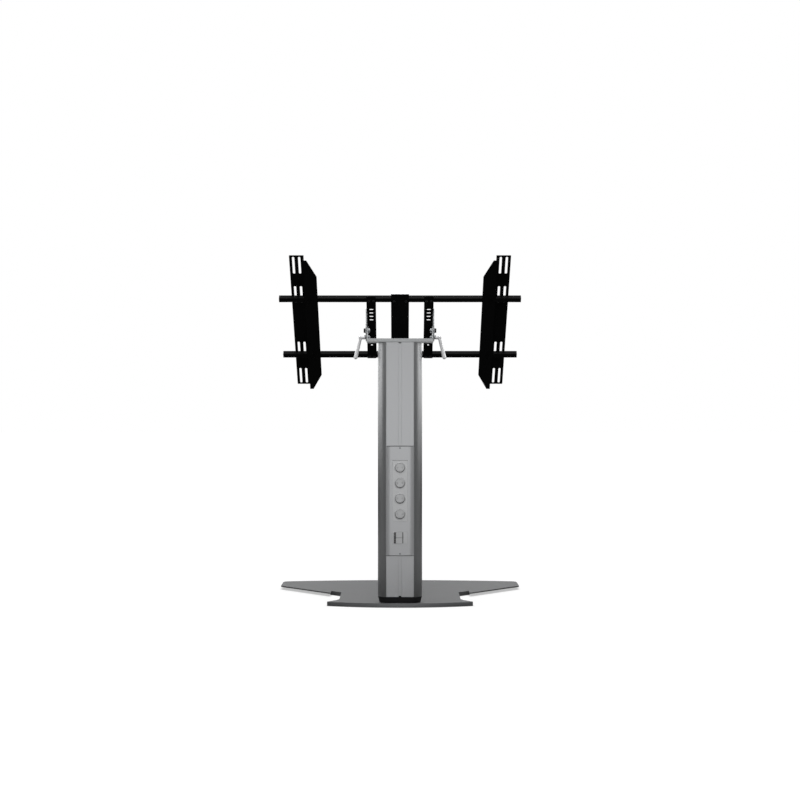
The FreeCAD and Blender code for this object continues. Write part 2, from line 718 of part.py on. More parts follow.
def socket_panel():
    """Crowned panel with windows for the sockets and the data outlets."""
    shell = face_along_z(panel_section(0.0, COVER_HALF, COVER_SEAT), PANEL_BOTTOM, PANEL_TOP)
    inner = panel_section(PANEL_SHEET, COVER_HALF - PANEL_SEAT, COVER_SEAT)
    shell = shell.cut(face_along_z(inner, PANEL_BOTTOM, PANEL_TOP))
    windows = []
    for centre, height in ((SOCKETS_CENTRE_HEIGHT, FASCIA_HEIGHT), (DATA_CENTRE_HEIGHT, DATA_FRAME_HEIGHT)):
        half_x = FASCIA_WIDTH / 2 + FIT_GAP
        half_z = height / 2 + FIT_GAP
        corners = rectangle(-half_x, half_x, centre - half_z, centre + half_z, FASCIA_ROUND + FIT_GAP)
        windows.append(face_along_y(rounded_face(corners), 0, FASCIA_FACE))
    return without(shell, windows + [countersink(z, FIT_GAP) for z in panel_screw_heights()])


def panel_brackets():
    """Hat brackets on the column's web that the panel is screwed to."""
    top = PANEL_FACE - PANEL_SHEET
    out = BRACKET_HALF_WIDTH
    foot = out + BRACKET_FOOT
    inside = out - BRACKET_SHEET
    corners = [
        (-foot, WEB_FACE, 0.0),
        (-inside, WEB_FACE, 0.0),
        (-inside, top - BRACKET_SHEET, 0.0),
        (inside, top - BRACKET_SHEET, 0.0),
        (inside, WEB_FACE, 0.0),
        (foot, WEB_FACE, 0.0),
        (foot, WEB_FACE + BRACKET_SHEET, 0.0),
        (out, WEB_FACE + BRACKET_SHEET, 0.0),
        (out, top, 0.0),
        (-out, top, 0.0),
        (-out, WEB_FACE + BRACKET_SHEET, 0.0),
        (-foot, WEB_FACE + BRACKET_SHEET, 0.0),
    ]
    face = rounded_face(corners)
    brackets = []
    for z in panel_screw_heights():
        low = z - BRACKET_HEIGHT / 2
        hole = rod("y", WEB_FACE, top, PANEL_SCREW_RADIUS - THREAD_BITE, 0, z)
        brackets.append(face_along_z(face, low, low + BRACKET_HEIGHT).cut(hole))
    return brackets


def panel_screws():
    """Countersunk screws at the panel's top and bottom."""
    screws = []
    for z in panel_screw_heights():
        recess = rod("y", PANEL_FACE - 1.0, PANEL_FACE, PANEL_SCREW_RADIUS * 0.6, 0, z)
        screws.append(countersink(z, 0.0).cut(recess))
    return screws


def fascia_plate(centre, height):
    """Flat trim plate that fills one window of the panel."""
    half_x = FASCIA_WIDTH / 2
    corners = rectangle(-half_x, half_x, centre - height / 2, centre + height / 2, FASCIA_ROUND)
    plate = face_along_y(rounded_face(corners), FASCIA_BACK, FASCIA_FACE)
    rim = [edge for edge in plate.Edges if edge.BoundBox.YMin > FASCIA_FACE - 0.01]
    return plate.makeFillet(FASCIA_PROUD / 2, rim)


def socket_fascia():
    """Trim plate round the four sockets."""
    radius = SOCKET_WELL_RADIUS + SOCKET_RIM + FIT_GAP
    holes = [rod("y", FASCIA_BACK, FASCIA_FACE, radius, 0, z) for z in SOCKET_HEIGHTS]
    return without(fascia_plate(SOCKETS_CENTRE_HEIGHT, FASCIA_HEIGHT), holes)


def socket_insert(z):
    """Socket body with a raised rim, a round well and two contact chambers."""
    half_x = SOCKET_BODY_WIDTH / 2
    half_z = (min(SOCKET_PITCH, 2 * FASCIA_MARGIN) - SOCKET_BODY_GAP) / 2
    face = rounded_face(rectangle(-half_x, half_x, z - half_z, z + half_z, FASCIA_ROUND))
    body = face_along_y(face, WEB_FACE, FASCIA_BACK)
    mouth = FASCIA_FACE + SOCKET_RIM_PROUD
    rim = rod("y", FASCIA_BACK, mouth, SOCKET_WELL_RADIUS + SOCKET_RIM, 0, z)
    rim = rim.makeFillet(SOCKET_RIM / 2, [edge for edge in rim.Edges if edge.BoundBox.YMin > mouth - 0.01])
    floor = mouth - SOCKET_WELL_DEPTH
    tools = [rod("y", floor, mouth, SOCKET_WELL_RADIUS, 0, z)]
    for x in (-CONTACT_SPREAD, CONTACT_SPREAD):
        tools.append(rod("y", floor - SOCKET_FLOOR, floor, CONTACT_HOLE_RADIUS, x, z))
        depth = floor - SOCKET_FLOOR - SLEEVE_LENGTH
        tools.append(rod("y", depth, floor - SOCKET_FLOOR, SLEEVE_RADIUS + RUNNING_GAP, x, z))
    return without(joined([body, rim]), tools)


def socket_contacts():
    """Contact sleeves behind the sockets' holes."""
    back = FASCIA_FACE + SOCKET_RIM_PROUD - SOCKET_WELL_DEPTH - SOCKET_FLOOR
    sleeves = []
    for z in SOCKET_HEIGHTS:
        for x in (-CONTACT_SPREAD, CONTACT_SPREAD):
            tube = rod("y", back - SLEEVE_LENGTH, back, SLEEVE_RADIUS, x, z)
            bore = rod("y", back - SLEEVE_LENGTH, back, SLEEVE_RADIUS - SLEEVE_WALL, x, z)
            sleeves.append(tube.cut(bore))
    return sleeves


def earth_clips():
    """Sprung earth contacts at the top and bottom of each socket well."""
    floor = FASCIA_FACE + SOCKET_RIM_PROUD - SOCKET_WELL_DEPTH
    half = EARTH_CLIP_WIDTH / 2
    wall = math.sqrt(SOCKET_WELL_RADIUS ** 2 - half ** 2) - RUNNING_GAP
    inner = wall - EARTH_CLIP_SHEET
    end = floor + EARTH_CLIP_LENGTH
    corners = [
        (floor, wall, 0.0),
        (end, wall, 0.0),
        (end, inner, 0.0),
        (floor + EARTH_CLIP_LENGTH * 0.6, inner - EARTH_CLIP_BULGE, 0.0),
        (floor + EARTH_CLIP_LENGTH * 0.2, inner, 0.0),
        (floor, inner, 0.0),
    ]
    clips = []
    for z in SOCKET_HEIGHTS:
        for end in (-1, 1):
            outline = [(y, z + end * height, corner) for y, height, corner in corners]
            clips.append(face_along_x(rounded_face(outline), -half, half))
    return clips


def data_frame():
    """Trim frame round the two data outlets."""
    left = DATA_WINDOW_OFFSET - DATA_WINDOW_WIDTH / 2
    low = DATA_CENTRE_HEIGHT - DATA_WINDOW_HEIGHT / 2
    right = left + DATA_WINDOW_WIDTH
    window = box(left, right, FASCIA_BACK, FASCIA_FACE, low, low + DATA_WINDOW_HEIGHT)
    return fascia_plate(DATA_CENTRE_HEIGHT, DATA_FRAME_HEIGHT).cut(window)


def data_jack(end):
    """Data outlet with a slanted face and a port in a trough at its deep side; end is 1 for the upper one."""
    near = DATA_WINDOW_OFFSET - DATA_WINDOW_WIDTH / 2 + DATA_SEAM
    far = DATA_WINDOW_OFFSET + DATA_WINDOW_WIDTH / 2 - FIT_GAP
    corners = [
        (near, WEB_FACE, 0.0),
        (far, WEB_FACE, 0.0),
        (far, FASCIA_FACE - DATA_SLOPE, 0.0),
        (near, FASCIA_FACE, 0.0),
    ]
    height = (DATA_WINDOW_HEIGHT - DATA_SEAM) / 2 - FIT_GAP
    seam = DATA_SEAM / 2
    low = DATA_CENTRE_HEIGHT + seam if end > 0 else DATA_CENTRE_HEIGHT - seam - height
    body = face_along_z(rounded_face(corners), low, low + height)
    middle = low + height / 2
    right = far - DATA_PORT_INSET
    trough_floor = FASCIA_FACE - DATA_SLOPE - DATA_TROUGH_DEPTH
    trough = box(right - DATA_PORT_WIDTH, far, trough_floor, FASCIA_FACE, low, low + height)
    half = DATA_PORT_HEIGHT / 2
    port_floor = trough_floor - DATA_PORT_DEPTH
    port = box(right - DATA_PORT_WIDTH, right, port_floor, FASCIA_FACE, middle - half, middle + half)
    return without(body, [trough, port])


# Yoke and pivots


def yoke():
    """Folded steel yoke on the column: base, front and rear lips and two ears."""
    base = box(-EAR_OUT, EAR_OUT, -HALF_DEPTH, HALF_DEPTH, COLUMN_TOP, COLUMN_TOP + YOKE_SHEET)
    lip_top = COLUMN_TOP + YOKE_LIP_HEIGHT
    rear_lip = box(-EAR_OUT, EAR_OUT, HALF_DEPTH - YOKE_SHEET, HALF_DEPTH, COLUMN_TOP, lip_top)
    half = EAR_BASE_WIDTH / 2
    outline = tangent_outline(
        V(-half, COLUMN_TOP, 0), V(half, COLUMN_TOP, 0), EAR_TOP_RADIUS, V(0, PIVOT_Z, 0)
    )
    ear = face_along_x(outline, EAR_IN, EAR_OUT)
    ear = ear.cut(rod("x", EAR_IN, EAR_OUT, PIVOT_RADIUS + RUNNING_GAP, 0, PIVOT_Z))
    ear = ear.cut(rod("x", EAR_IN, EAR_OUT, STUD_RADIUS + SCREW_GAP, 0, STUD_Z))
    folded = joined([base, rear_lip, turned_about_z(rear_lip)] + both_sides(ear))
    bends = [
        edge for edge in folded.Edges
        if edge.BoundBox.XLength > COLUMN_WIDTH
        and edge.BoundBox.ZMax < COLUMN_TOP + 0.01
        and abs(edge.BoundBox.YMin) > HALF_DEPTH - 0.01
    ]
    folded = folded.makeFillet(YOKE_BEND, bends)
    half_hole = CABLE_HOLE_WIDTH / 2
    hole_corners = rectangle(
        -half_hole, half_hole, CABLE_HOLE_INSET, LEDGE_UNDER - CABLE_HOLE_INSET / 2, CABLE_HOLE_ROUND
    )
    tools = [face_along_z(rounded_face(hole_corners), COLUMN_TOP, COLUMN_TOP + YOKE_SHEET)]
    tools += bolt_holes(COLUMN_TOP, COLUMN_TOP + YOKE_SHEET)
    return without(folded, tools)


def yoke_screws():
    """Flat-headed screws from the yoke down into the column's screw ports."""
    seat = COLUMN_TOP + YOKE_SHEET
    screws = []
    for x, y in port_places():
        head = rod("z", seat, seat + COLUMN_BOLT_HEAD_HEIGHT, COLUMN_BOLT_HEAD_RADIUS, x, y)
        shank = rod("z", COLUMN_TOP - COLUMN_BOLT_BITE, seat, COLUMN_BOLT_RADIUS, x, y)
        screws.append(joined([head, shank]))
    return screws


def pivot_bolts():
    """Hexagon bolts that the tilting frame's cheeks turn on."""
    seat = CHEEK_OUT + FACE_GAP + WASHER_SHEET
    tail = EAR_IN - PIVOT_NUT_HEIGHT - PIVOT_TAIL
    head = hexagon_x(seat, seat + PIVOT_HEAD_HEIGHT, PIVOT_HEAD_FLATS, 0, PIVOT_Z)
    return both_sides(joined([head, rod("x", tail, seat, PIVOT_RADIUS, 0, PIVOT_Z)]))


def pivot_washers():
    """Steel washers under the pivot bolts' heads."""
    start = CHEEK_OUT + FACE_GAP
    disc = rod("x", start, start + WASHER_SHEET, WASHER_RADIUS, 0, PIVOT_Z)
    return both_sides(disc.cut(rod("x", start, start + WASHER_SHEET, PIVOT_RADIUS + RUNNING_GAP, 0, PIVOT_Z)))


def pivot_nuts():
    """Hexagon nuts on the inside of the yoke's ears."""
    nut = hexagon_x(EAR_IN - PIVOT_NUT_HEIGHT, EAR_IN, PIVOT_HEAD_FLATS, 0, PIVOT_Z)
    bore = rod("x", EAR_IN - PIVOT_NUT_HEIGHT, EAR_IN, PIVOT_RADIUS - THREAD_BITE, 0, PIVOT_Z)
    return both_sides(nut.cut(bore))


def friction_discs():
    """Friction discs between the yoke's ears and the cheeks."""
    end = EAR_OUT + FRICTION_DISC_SHEET
    disc = rod("x", EAR_OUT, end, FRICTION_DISC_RADIUS, 0, PIVOT_Z)
    return both_sides(disc.cut(rod("x", EAR_OUT, end, PIVOT_RADIUS + RUNNING_GAP, 0, PIVOT_Z)))


# Tilting frame, drawn upright about the pivot: y is towards the rear and z is up from the pivot


def rail(height):
    """Square tube across the frame, with threaded holes for its screws."""
    outer = RAIL_SIZE / 2
    inner = outer - RAIL_WALL
    middle = -RAIL_SETBACK - outer
    section = rectangle(middle - outer, middle + outer, height - outer, height + outer, RAIL_CORNER)
    hollow = rectangle(middle - inner, middle + inner, height - inner, height + inner)
    half = RAIL_LENGTH / 2
    tube = face_along_x(rounded_face(section), -half, half)
    tube = tube.cut(face_along_x(rounded_face(hollow), -half, half))
    rear_wall = (-RAIL_SETBACK - RAIL_WALL, -RAIL_SETBACK)
    radius = FRAME_SCREW_RADIUS - THREAD_BITE
    holes = [rod("y", rear_wall[0], rear_wall[1], radius, x, height) for x in frame_screw_columns()]
    return tilted(without(tube, holes))


def frame_screw_columns():
    """Where the frame's screws cross each rail."""
    left = [
        SPINE_SCREW_SPREAD,
        UPRIGHT_MIDDLE - UPRIGHT_SCREW_SPREAD,
        UPRIGHT_MIDDLE + UPRIGHT_SCREW_SPREAD,
    ]
    return left + [-x for x in left]


def rail_end_caps():
    """Moulded caps that plug the four rail ends."""
    outer = RAIL_SIZE / 2
    inner = outer - RAIL_WALL - RUNNING_GAP
    middle = -RAIL_SETBACK - outer
    end = RAIL_LENGTH / 2
    caps = []
    for height in RAIL_HEIGHTS:
        section = rectangle(middle - outer, middle + outer, height - outer, height + outer, RAIL_CORNER)
        hollow = rectangle(middle - inner, middle + inner, height - inner, height + inner)
        face = face_along_x(rounded_face(section), end, end + RAIL_CAP_SHEET)
        cap = joined([face, face_along_x(rounded_face(hollow), end - RAIL_CAP_PLUG, end)])
        caps += [tilted(piece) for piece in both_sides(cap)]
    return caps


def tilt_slot():
    """Curved slot in the cheek that the lever's stud runs in, as a cutting solid."""
    half_width = STUD_RADIUS + SCREW_GAP
    half_angle = math.radians(TILT_RANGE + TILT_SLOT_MARGIN)
    middle = math.radians(REST_TILT - 90)

    def at(radius, angle):
        return V(radius * math.cos(angle), radius * math.sin(angle), 0)

    low, high = middle - half_angle, middle + half_angle
    outer, inner = STUD_DROP + half_width, STUD_DROP - half_width
    bulge = half_width / STUD_DROP
    edges = [
        Part.Arc(at(outer, low), at(outer, middle), at(outer, high)),
        Part.Arc(at(outer, high), at(STUD_DROP, high + bulge), at(inner, high)),
        Part.Arc(at(inner, high), at(inner, middle), at(inner, low)),
        Part.Arc(at(inner, low), at(STUD_DROP, low - bulge), at(outer, low)),
    ]
    return face_along_x(Part.Face(Part.Wire([edge.toShape() for edge in edges])), CHEEK_IN, CHEEK_OUT)


def slot_face(x, height, length, width):
    """Face in (x, z) of a slot with round ends, lying across the frame."""
    half = length / 2
    radius = width / 2
    return rounded_face(rectangle(x - half, x + half, height - radius, height + radius, radius * 0.999))


def upright():
    """Slotted upright that is screwed across both rails."""
    top = RAIL_UPPER_HEIGHT + UPRIGHT_TOP_OVERHANG
    bottom = RAIL_LOWER_HEIGHT - UPRIGHT_BOTTOM_OVERHANG
    face_y = -RAIL_SETBACK + FRAME_SHEET
    inner = CHEEK_IN - UPRIGHT_FLANGE
    corners = [
        (inner, bottom, UPRIGHT_CORNER),
        (CHEEK_IN, bottom, 0.0),
        (CHEEK_IN, top, 0.0),
        (inner, top, UPRIGHT_CORNER),
    ]
    flange = face_along_y(rounded_face(corners), -RAIL_SETBACK, face_y)
    tools = []
    for i in range(UPRIGHT_SLOT_COUNT):
        height = UPRIGHT_SLOT_TOP - i * UPRIGHT_SLOT_PITCH
        slot = slot_face(UPRIGHT_MIDDLE, height, UPRIGHT_SLOT_LENGTH, UPRIGHT_SLOT_WIDTH)
        tools.append(face_along_y(slot, -RAIL_SETBACK, face_y))
    spare_hole = RAIL_LOWER_HEIGHT + UPRIGHT_HOLE_LIFT
    tools.append(rod("y", -RAIL_SETBACK, face_y, UPRIGHT_HOLE_RADIUS, UPRIGHT_MIDDLE, spare_hole))
    for height in RAIL_HEIGHTS:
        for side in (-1, 1):
            x = UPRIGHT_MIDDLE + side * UPRIGHT_SCREW_SPREAD
            tools.append(rod("y", -RAIL_SETBACK, face_y, FRAME_SCREW_RADIUS + SCREW_GAP, x, height))
    return without(flange, tools)


def tilt_cheek():
    """Plate welded to the upright's outer edge, with the pivot hole and the lever's curved slot."""
    outline = tangent_outline(
        V(-RAIL_SETBACK, CHEEK_TOP, 0), V(-RAIL_SETBACK, -CHEEK_BOTTOM, 0), CHEEK_RADIUS, V(0, 0, 0)
    )
    cheek = face_along_x(outline, CHEEK_IN, CHEEK_OUT)
    return without(cheek, [rod("x", CHEEK_IN, CHEEK_OUT, PIVOT_RADIUS + RUNNING_GAP, 0, 0), tilt_slot()])


def spine_plate():
    """Middle plate that ties the two rails together."""
    half = SPINE_WIDTH / 2
    top = RAIL_UPPER_HEIGHT + SPINE_TOP_OVERHANG
    bottom = RAIL_LOWER_HEIGHT - SPINE_BOTTOM_OVERHANG
    face_y = -RAIL_SETBACK + SPINE_SHEET
    corners = [
        (-half, bottom, UPRIGHT_CORNER),
        (half, bottom, UPRIGHT_CORNER),
        (half, top, 0.0),
        (-half, top, 0.0),
    ]
    plate = face_along_y(rounded_face(corners), -RAIL_SETBACK, face_y)
    holes = [
        rod("y", -RAIL_SETBACK, face_y, FRAME_SCREW_RADIUS + SCREW_GAP, side * SPINE_SCREW_SPREAD, height)
        for height in RAIL_HEIGHTS
        for side in (-1, 1)
    ]
    return tilted(without(plate, holes))


def spine_cap():
    """Bright edge strip on the spine's top."""
    half = SPINE_WIDTH / 2
    low = RAIL_UPPER_HEIGHT + SPINE_TOP_OVERHANG
    strip = box(-half, half, -RAIL_SETBACK, -RAIL_SETBACK + SPINE_CAP_DEPTH, low, low + SPINE_CAP_SHEET)
    return tilted(strip)


def frame_screws():
    """Button-headed screws that hold the uprights and the spine on the rails."""
    screws = []
    for height in RAIL_HEIGHTS:
        for x in frame_screw_columns():
            sheet = SPINE_SHEET if abs(x) == SPINE_SCREW_SPREAD else FRAME_SHEET
            seat = -RAIL_SETBACK + sheet
            head = rod("y", seat, seat + FRAME_SCREW_HEAD_HEIGHT, FRAME_SCREW_HEAD, x, height)
            top = seat + FRAME_SCREW_HEAD_HEIGHT - 0.01
            crown = [edge for edge in head.Edges if edge.BoundBox.YMin > top]
            head = head.makeChamfer(FRAME_SCREW_HEAD_HEIGHT * 0.4, crown)
            shank = rod("y", seat - FRAME_SCREW_LENGTH, seat, FRAME_SCREW_RADIUS, x, height)
            screws.append(tilted(joined([head, shank])))
    return screws


# Screen arms


def arm():
    """Z-section arm: slotted flange for the screen, web with rail windows and a face behind the rails."""
    half = ARM_LENGTH / 2
    top = ARM_CENTRE_HEIGHT + half
    bottom = ARM_CENTRE_HEIGHT - half
    web_in = ARM_WEB_X - ARM_SHEET
    front = ARM_FRONT - ARM_SHEET
    rear = ARM_REAR + ARM_SHEET
    outer = ARM_WEB_X + ARM_FLANGE_WIDTH
    flange_corners = [
        (web_in, bottom, 0.0),
        (outer, bottom, ARM_CORNER),
        (outer, top, ARM_CORNER),
        (web_in, top, 0.0),
    ]
    flange = face_along_y(rounded_face(flange_corners), front, ARM_FRONT)
    face_top = top - ARM_FACE_DROP
    face_bottom = bottom - ARM_FACE_DROP
    web_corners = [(front, bottom, 0.0), (rear, face_bottom, 0.0), (rear, face_top, 0.0), (front, top, 0.0)]
    web = face_along_x(rounded_face(web_corners), web_in, ARM_WEB_X)
    inner = ARM_WEB_X - ARM_FACE_WIDTH
    bevel = ARM_WEB_X - ARM_END_FLAT
    face_corners = [
        (ARM_WEB_X, face_bottom, 0.0),
        (ARM_WEB_X, face_top, 0.0),
        (bevel, face_top, ARM_CORNER),
        (inner, face_top - ARM_END_SLANT, ARM_CORNER),
        (inner, face_bottom + ARM_END_SLANT, ARM_CORNER),
        (bevel, face_bottom, ARM_CORNER),
    ]
    face = face_along_y(rounded_face(face_corners), ARM_REAR, rear)
    tools = []
    reach = RAIL_SIZE / 2 + RAIL_CLEARANCE
    for height in RAIL_HEIGHTS:
        tools.append(box(web_in, ARM_WEB_X, ARM_FRONT, ARM_REAR, height - reach, height + reach))
        tools.append(rod("y", ARM_REAR, rear, CLAMP_SCREW_RADIUS - THREAD_BITE, CLAMP_SCREW_X, height))
    for x in SLOT_COLUMNS:
        for offset in ARM_SLOT_OFFSETS:
            for side in (-1, 1):
                tools.append(screen_slot(x, ARM_CENTRE_HEIGHT + side * offset, front))
    return without(joined([flange, web, face]), tools)


def screen_slot(x, height, front):
    """Upright slot through the arm's flange for the screen's screws."""
    radius = ARM_SLOT_WIDTH / 2
    half = ARM_SLOT_LENGTH / 2
    face = rounded_face(rectangle(x - radius, x + radius, height - half, height + half, radius * 0.999))
    return face_along_y(face, front, ARM_FRONT)


def arm_clamp_screws():
    """Knurled screws through the arm's rear face that lock it on the rails."""
    rear = ARM_REAR + ARM_SHEET
    screws = []
    for height in RAIL_HEIGHTS:
        head = rod("y", rear, rear + CLAMP_SCREW_HEAD_HEIGHT, CLAMP_SCREW_HEAD, CLAMP_SCREW_X, height)
        crown = [edge for edge in head.Edges if edge.BoundBox.YMin > rear + CLAMP_SCREW_HEAD_HEIGHT - 0.01]
        head = head.makeChamfer(CLAMP_SCREW_HEAD_HEIGHT / 4, crown)
        shank = rod("y", ARM_REAR, rear, CLAMP_SCREW_RADIUS, CLAMP_SCREW_X, height)
        screws.append(joined([head, shank]))
    return screws


# Clamping levers


def serration(gap):
    """Star-shaped face in (y, z) about the stud, grown by the gap."""
    corners = []
    for i in range(2 * SERRATION_TEETH):
        radius = SERRATION_RADIUS + gap - (SERRATION_DEPTH if i % 2 else 0.0)
        angle = math.pi * i / SERRATION_TEETH
        corners.append((radius * math.cos(angle), STUD_Z + radius * math.sin(angle), 0.0))
    return rounded_face(corners)


def lever_nut():
    """Weld nut on the inside of the yoke's ear."""
    start = EAR_IN - LEVER_NUT_HEIGHT
    nut = hexagon_x(start, EAR_IN, LEVER_NUT_FLATS, 0, STUD_Z)
    return nut.cut(rod("x", start, EAR_IN, STUD_RADIUS + RUNNING_GAP, 0, STUD_Z))


def lever_stud():
    """Stud with a flange on the cheek, a serrated crown and a pilot that guides the handle."""
    flange_end = STUD_SEAT + STUD_FLANGE_SHEET
    crown_end = flange_end + SERRATION_LENGTH
    pilot_end = crown_end + PILOT_LENGTH
    pieces = [
        rod("x", EAR_IN - LEVER_NUT_HEIGHT - STUD_TAIL, STUD_SEAT, STUD_RADIUS, 0, STUD_Z),
        rod("x", STUD_SEAT, flange_end, STUD_FLANGE_RADIUS, 0, STUD_Z),
        face_along_x(serration(0.0), flange_end, crown_end),
        rod("x", crown_end, pilot_end, PILOT_RADIUS, 0, STUD_Z),
    ]
    thread = rod("x", pilot_end - LEVER_SCREW_BITE, pilot_end, LEVER_SCREW_RADIUS - THREAD_BITE, 0, STUD_Z)
    return joined(pieces).cut(thread)


def handle_web():
    """Start and end of the web inside the handle's hub that the spring presses on."""
    start = STUD_SEAT + STUD_FLANGE_SHEET + SERRATION_LENGTH + PILOT_LENGTH + FACE_GAP
    return start, start + HUB_WEB


def lever_screw():
    """Screw into the stud that holds the spring and the handle."""
    hub_end = HUB_START + HUB_LENGTH
    head_end = hub_end - LEVER_SCREW_SUNK
    head_start = head_end - LEVER_SCREW_HEAD_HEIGHT
    pilot_end = handle_web()[0] - FACE_GAP
    head = rod("x", head_start, head_end, LEVER_SCREW_HEAD_RADIUS, 0, STUD_Z)
    shank = rod("x", pilot_end - LEVER_SCREW_BITE, head_start, LEVER_SCREW_RADIUS, 0, STUD_Z)
    reach = LEVER_SCREW_HEAD_RADIUS
    half = LEVER_SCREW_SLOT_WIDTH / 2
    slot = box(head_end - LEVER_SCREW_SLOT_DEPTH, head_end, -half, half, STUD_Z - reach, STUD_Z + reach)
    return joined([head, shank]).cut(slot)


def lever_spring():
    """Sleeve in the place of the return spring between the screw's head and the handle's web."""
    start = handle_web()[1]
    end = HUB_START + HUB_LENGTH - LEVER_SCREW_SUNK - LEVER_SCREW_HEAD_HEIGHT
    sleeve = rod("x", start, end, SPRING_RADIUS, 0, STUD_Z)
    return sleeve.cut(rod("x", start, end, SPRING_RADIUS - SPRING_WIRE, 0, STUD_Z))


def lever_handle():
    """Cast handle: tapered hub over the serrations and a leaning bar with a ball end."""
    hub_end = HUB_START + HUB_LENGTH
    hub = Part.makeCone(HUB_RADIUS, HUB_TIP_RADIUS, HUB_LENGTH, V(HUB_START, 0, STUD_Z), V(1, 0, 0))
    lean = math.radians(HANDLE_LEAN)
    direction = V(math.sin(lean), 0, -math.cos(lean))
    root = V(hub_end - HUB_TIP_RADIUS, 0, STUD_Z)
    length = HANDLE_REACH / math.cos(lean) - HANDLE_TIP_RADIUS
    bar = Part.makeCone(HANDLE_ROOT_RADIUS, HANDLE_TIP_RADIUS, length, root, direction)
    ball = Part.makeSphere(HANDLE_TIP_RADIUS, root + direction * length)
    web_start, web_end = handle_web()
    crown_end = HUB_START + SERRATION_LENGTH
    tools = [
        face_along_x(serration(SERRATION_GAP), HUB_START, crown_end),
        rod("x", crown_end, web_start, PILOT_RADIUS + SCREW_GAP, 0, STUD_Z),
        rod("x", web_start, web_end, LEVER_SCREW_RADIUS + SCREW_GAP, 0, STUD_Z),
        rod("x", web_end, hub_end, HUB_COUNTERBORE_RADIUS, 0, STUD_Z),
    ]
    return without(joined([hub, bar, ball]), tools)


# Assembly


def nodes():
    """Every piece of the stand by name; a list is a group of identical pieces."""
    pieces = {
        "base_plate": without(base_plate(), bolt_holes(BASE_UNDER, BASE_TOP)),
        "base_pads": base_pads(),
        "backing_plate": backing_plate(),
        "column_bolts": column_bolts(),
        "column_profile": column_profile(),
        "column_foot": column_foot(),
        "front_cover": front_cover(),
        "rear_cover_upper": rear_cover_upper(),
        "rear_cover_lower": rear_cover_lower(),
        "socket_panel": socket_panel(),
        "panel_brackets": panel_brackets(),
        "panel_screws": panel_screws(),
        "socket_fascia": socket_fascia(),
        "socket_contacts": socket_contacts(),
        "earth_clips": earth_clips(),
        "data_frame": data_frame(),
        "data_jack_upper": data_jack(1),
        "data_jack_lower": data_jack(-1),
        "yoke": yoke(),
        "yoke_screws": yoke_screws(),
        "pivot_bolts": pivot_bolts(),
        "pivot_washers": pivot_washers(),
        "pivot_nuts": pivot_nuts(),
        "friction_discs": friction_discs(),
        "rail_upper": rail(RAIL_UPPER_HEIGHT),
        "rail_lower": rail(RAIL_LOWER_HEIGHT),
        "rail_end_caps": rail_end_caps(),
        "spine_plate": spine_plate(),
        "spine_cap": spine_cap(),
        "frame_screws": frame_screws(),
        "lever_nuts": both_sides(lever_nut()),
    }
    for i, z in enumerate(SOCKET_HEIGHTS):
        pieces[f"socket_insert_{i + 1}"] = socket_insert(z)
    for side, place in (("left", lambda shape: shape), ("right", mirrored)):
        pieces[f"upright_{side}"] = tilted(place(upright()))
        pieces[f"tilt_cheek_{side}"] = tilted(place(tilt_cheek()))
        pieces[f"arm_{side}"] = tilted(place(arm()))
        pieces[f"arm_clamp_screws_{side}"] = [tilted(place(screw)) for screw in arm_clamp_screws()]
        pieces[f"lever_stud_{side}"] = place(lever_stud())
        pieces[f"lever_handle_{side}"] = place(lever_handle())
        pieces[f"lever_screw_{side}"] = place(lever_screw())
        pieces[f"lever_spring_{side}"] = place(lever_spring())
    return pieces


os.makedirs("parts", exist_ok=True)
for name, piece in nodes().items():
    shape = Part.makeCompound(piece) if isinstance(piece, list) else piece
    shape.exportStep(f"parts/{name}.step")
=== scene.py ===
import json
import logging
import math
from dataclasses import dataclass
from enum import Enum
from typing import Any, Sequence

import bmesh
import bpy
from mathutils import Matrix, Vector


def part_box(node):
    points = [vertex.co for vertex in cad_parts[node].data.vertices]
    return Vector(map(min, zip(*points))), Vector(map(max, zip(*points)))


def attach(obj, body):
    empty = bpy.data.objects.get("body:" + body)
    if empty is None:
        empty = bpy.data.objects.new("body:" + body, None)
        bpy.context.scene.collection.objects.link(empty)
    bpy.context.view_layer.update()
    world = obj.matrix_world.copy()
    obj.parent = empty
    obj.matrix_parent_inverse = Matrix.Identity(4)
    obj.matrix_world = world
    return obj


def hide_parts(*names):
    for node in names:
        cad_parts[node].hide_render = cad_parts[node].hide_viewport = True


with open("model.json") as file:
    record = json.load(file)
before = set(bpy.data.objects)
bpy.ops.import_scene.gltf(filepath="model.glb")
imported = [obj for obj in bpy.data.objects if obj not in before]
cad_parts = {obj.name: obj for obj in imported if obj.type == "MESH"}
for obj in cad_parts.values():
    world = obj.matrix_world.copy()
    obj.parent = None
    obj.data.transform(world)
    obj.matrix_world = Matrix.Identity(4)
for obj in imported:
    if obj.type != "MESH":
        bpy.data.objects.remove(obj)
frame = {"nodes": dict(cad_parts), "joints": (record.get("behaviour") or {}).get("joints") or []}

LOG = logging.getLogger("floor_stand")
MM = 0.001
TO_METRES = Matrix.Scale(MM, 4)
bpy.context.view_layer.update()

SIDES = ("left", "right")
SOCKETS = tuple(f"socket_insert_{i}" for i in range(1, 5))
DATA_JACKS = ("data_jack_upper", "data_jack_lower")
REST_TILT_DEGREES = -45
# Points closer than this are one point.
MERGE_MM = 0.01
# Faces that differ less than this in direction are one face.
FLAT_DEGREES = 0.5
# Edges sharper than this are softened.
SOFT_EDGE_DEGREES = 40
# Edges of drawn pieces sharper than this stay sharp.
SHARP_DEGREES = 35
# Radius of a knurl's valleys, as a share of its ridges' radius.
KNURL_SHARE = 0.93
# Band of the grain noise that carries nearly all of its values.
GRAIN_BAND = (0.3, 0.7)
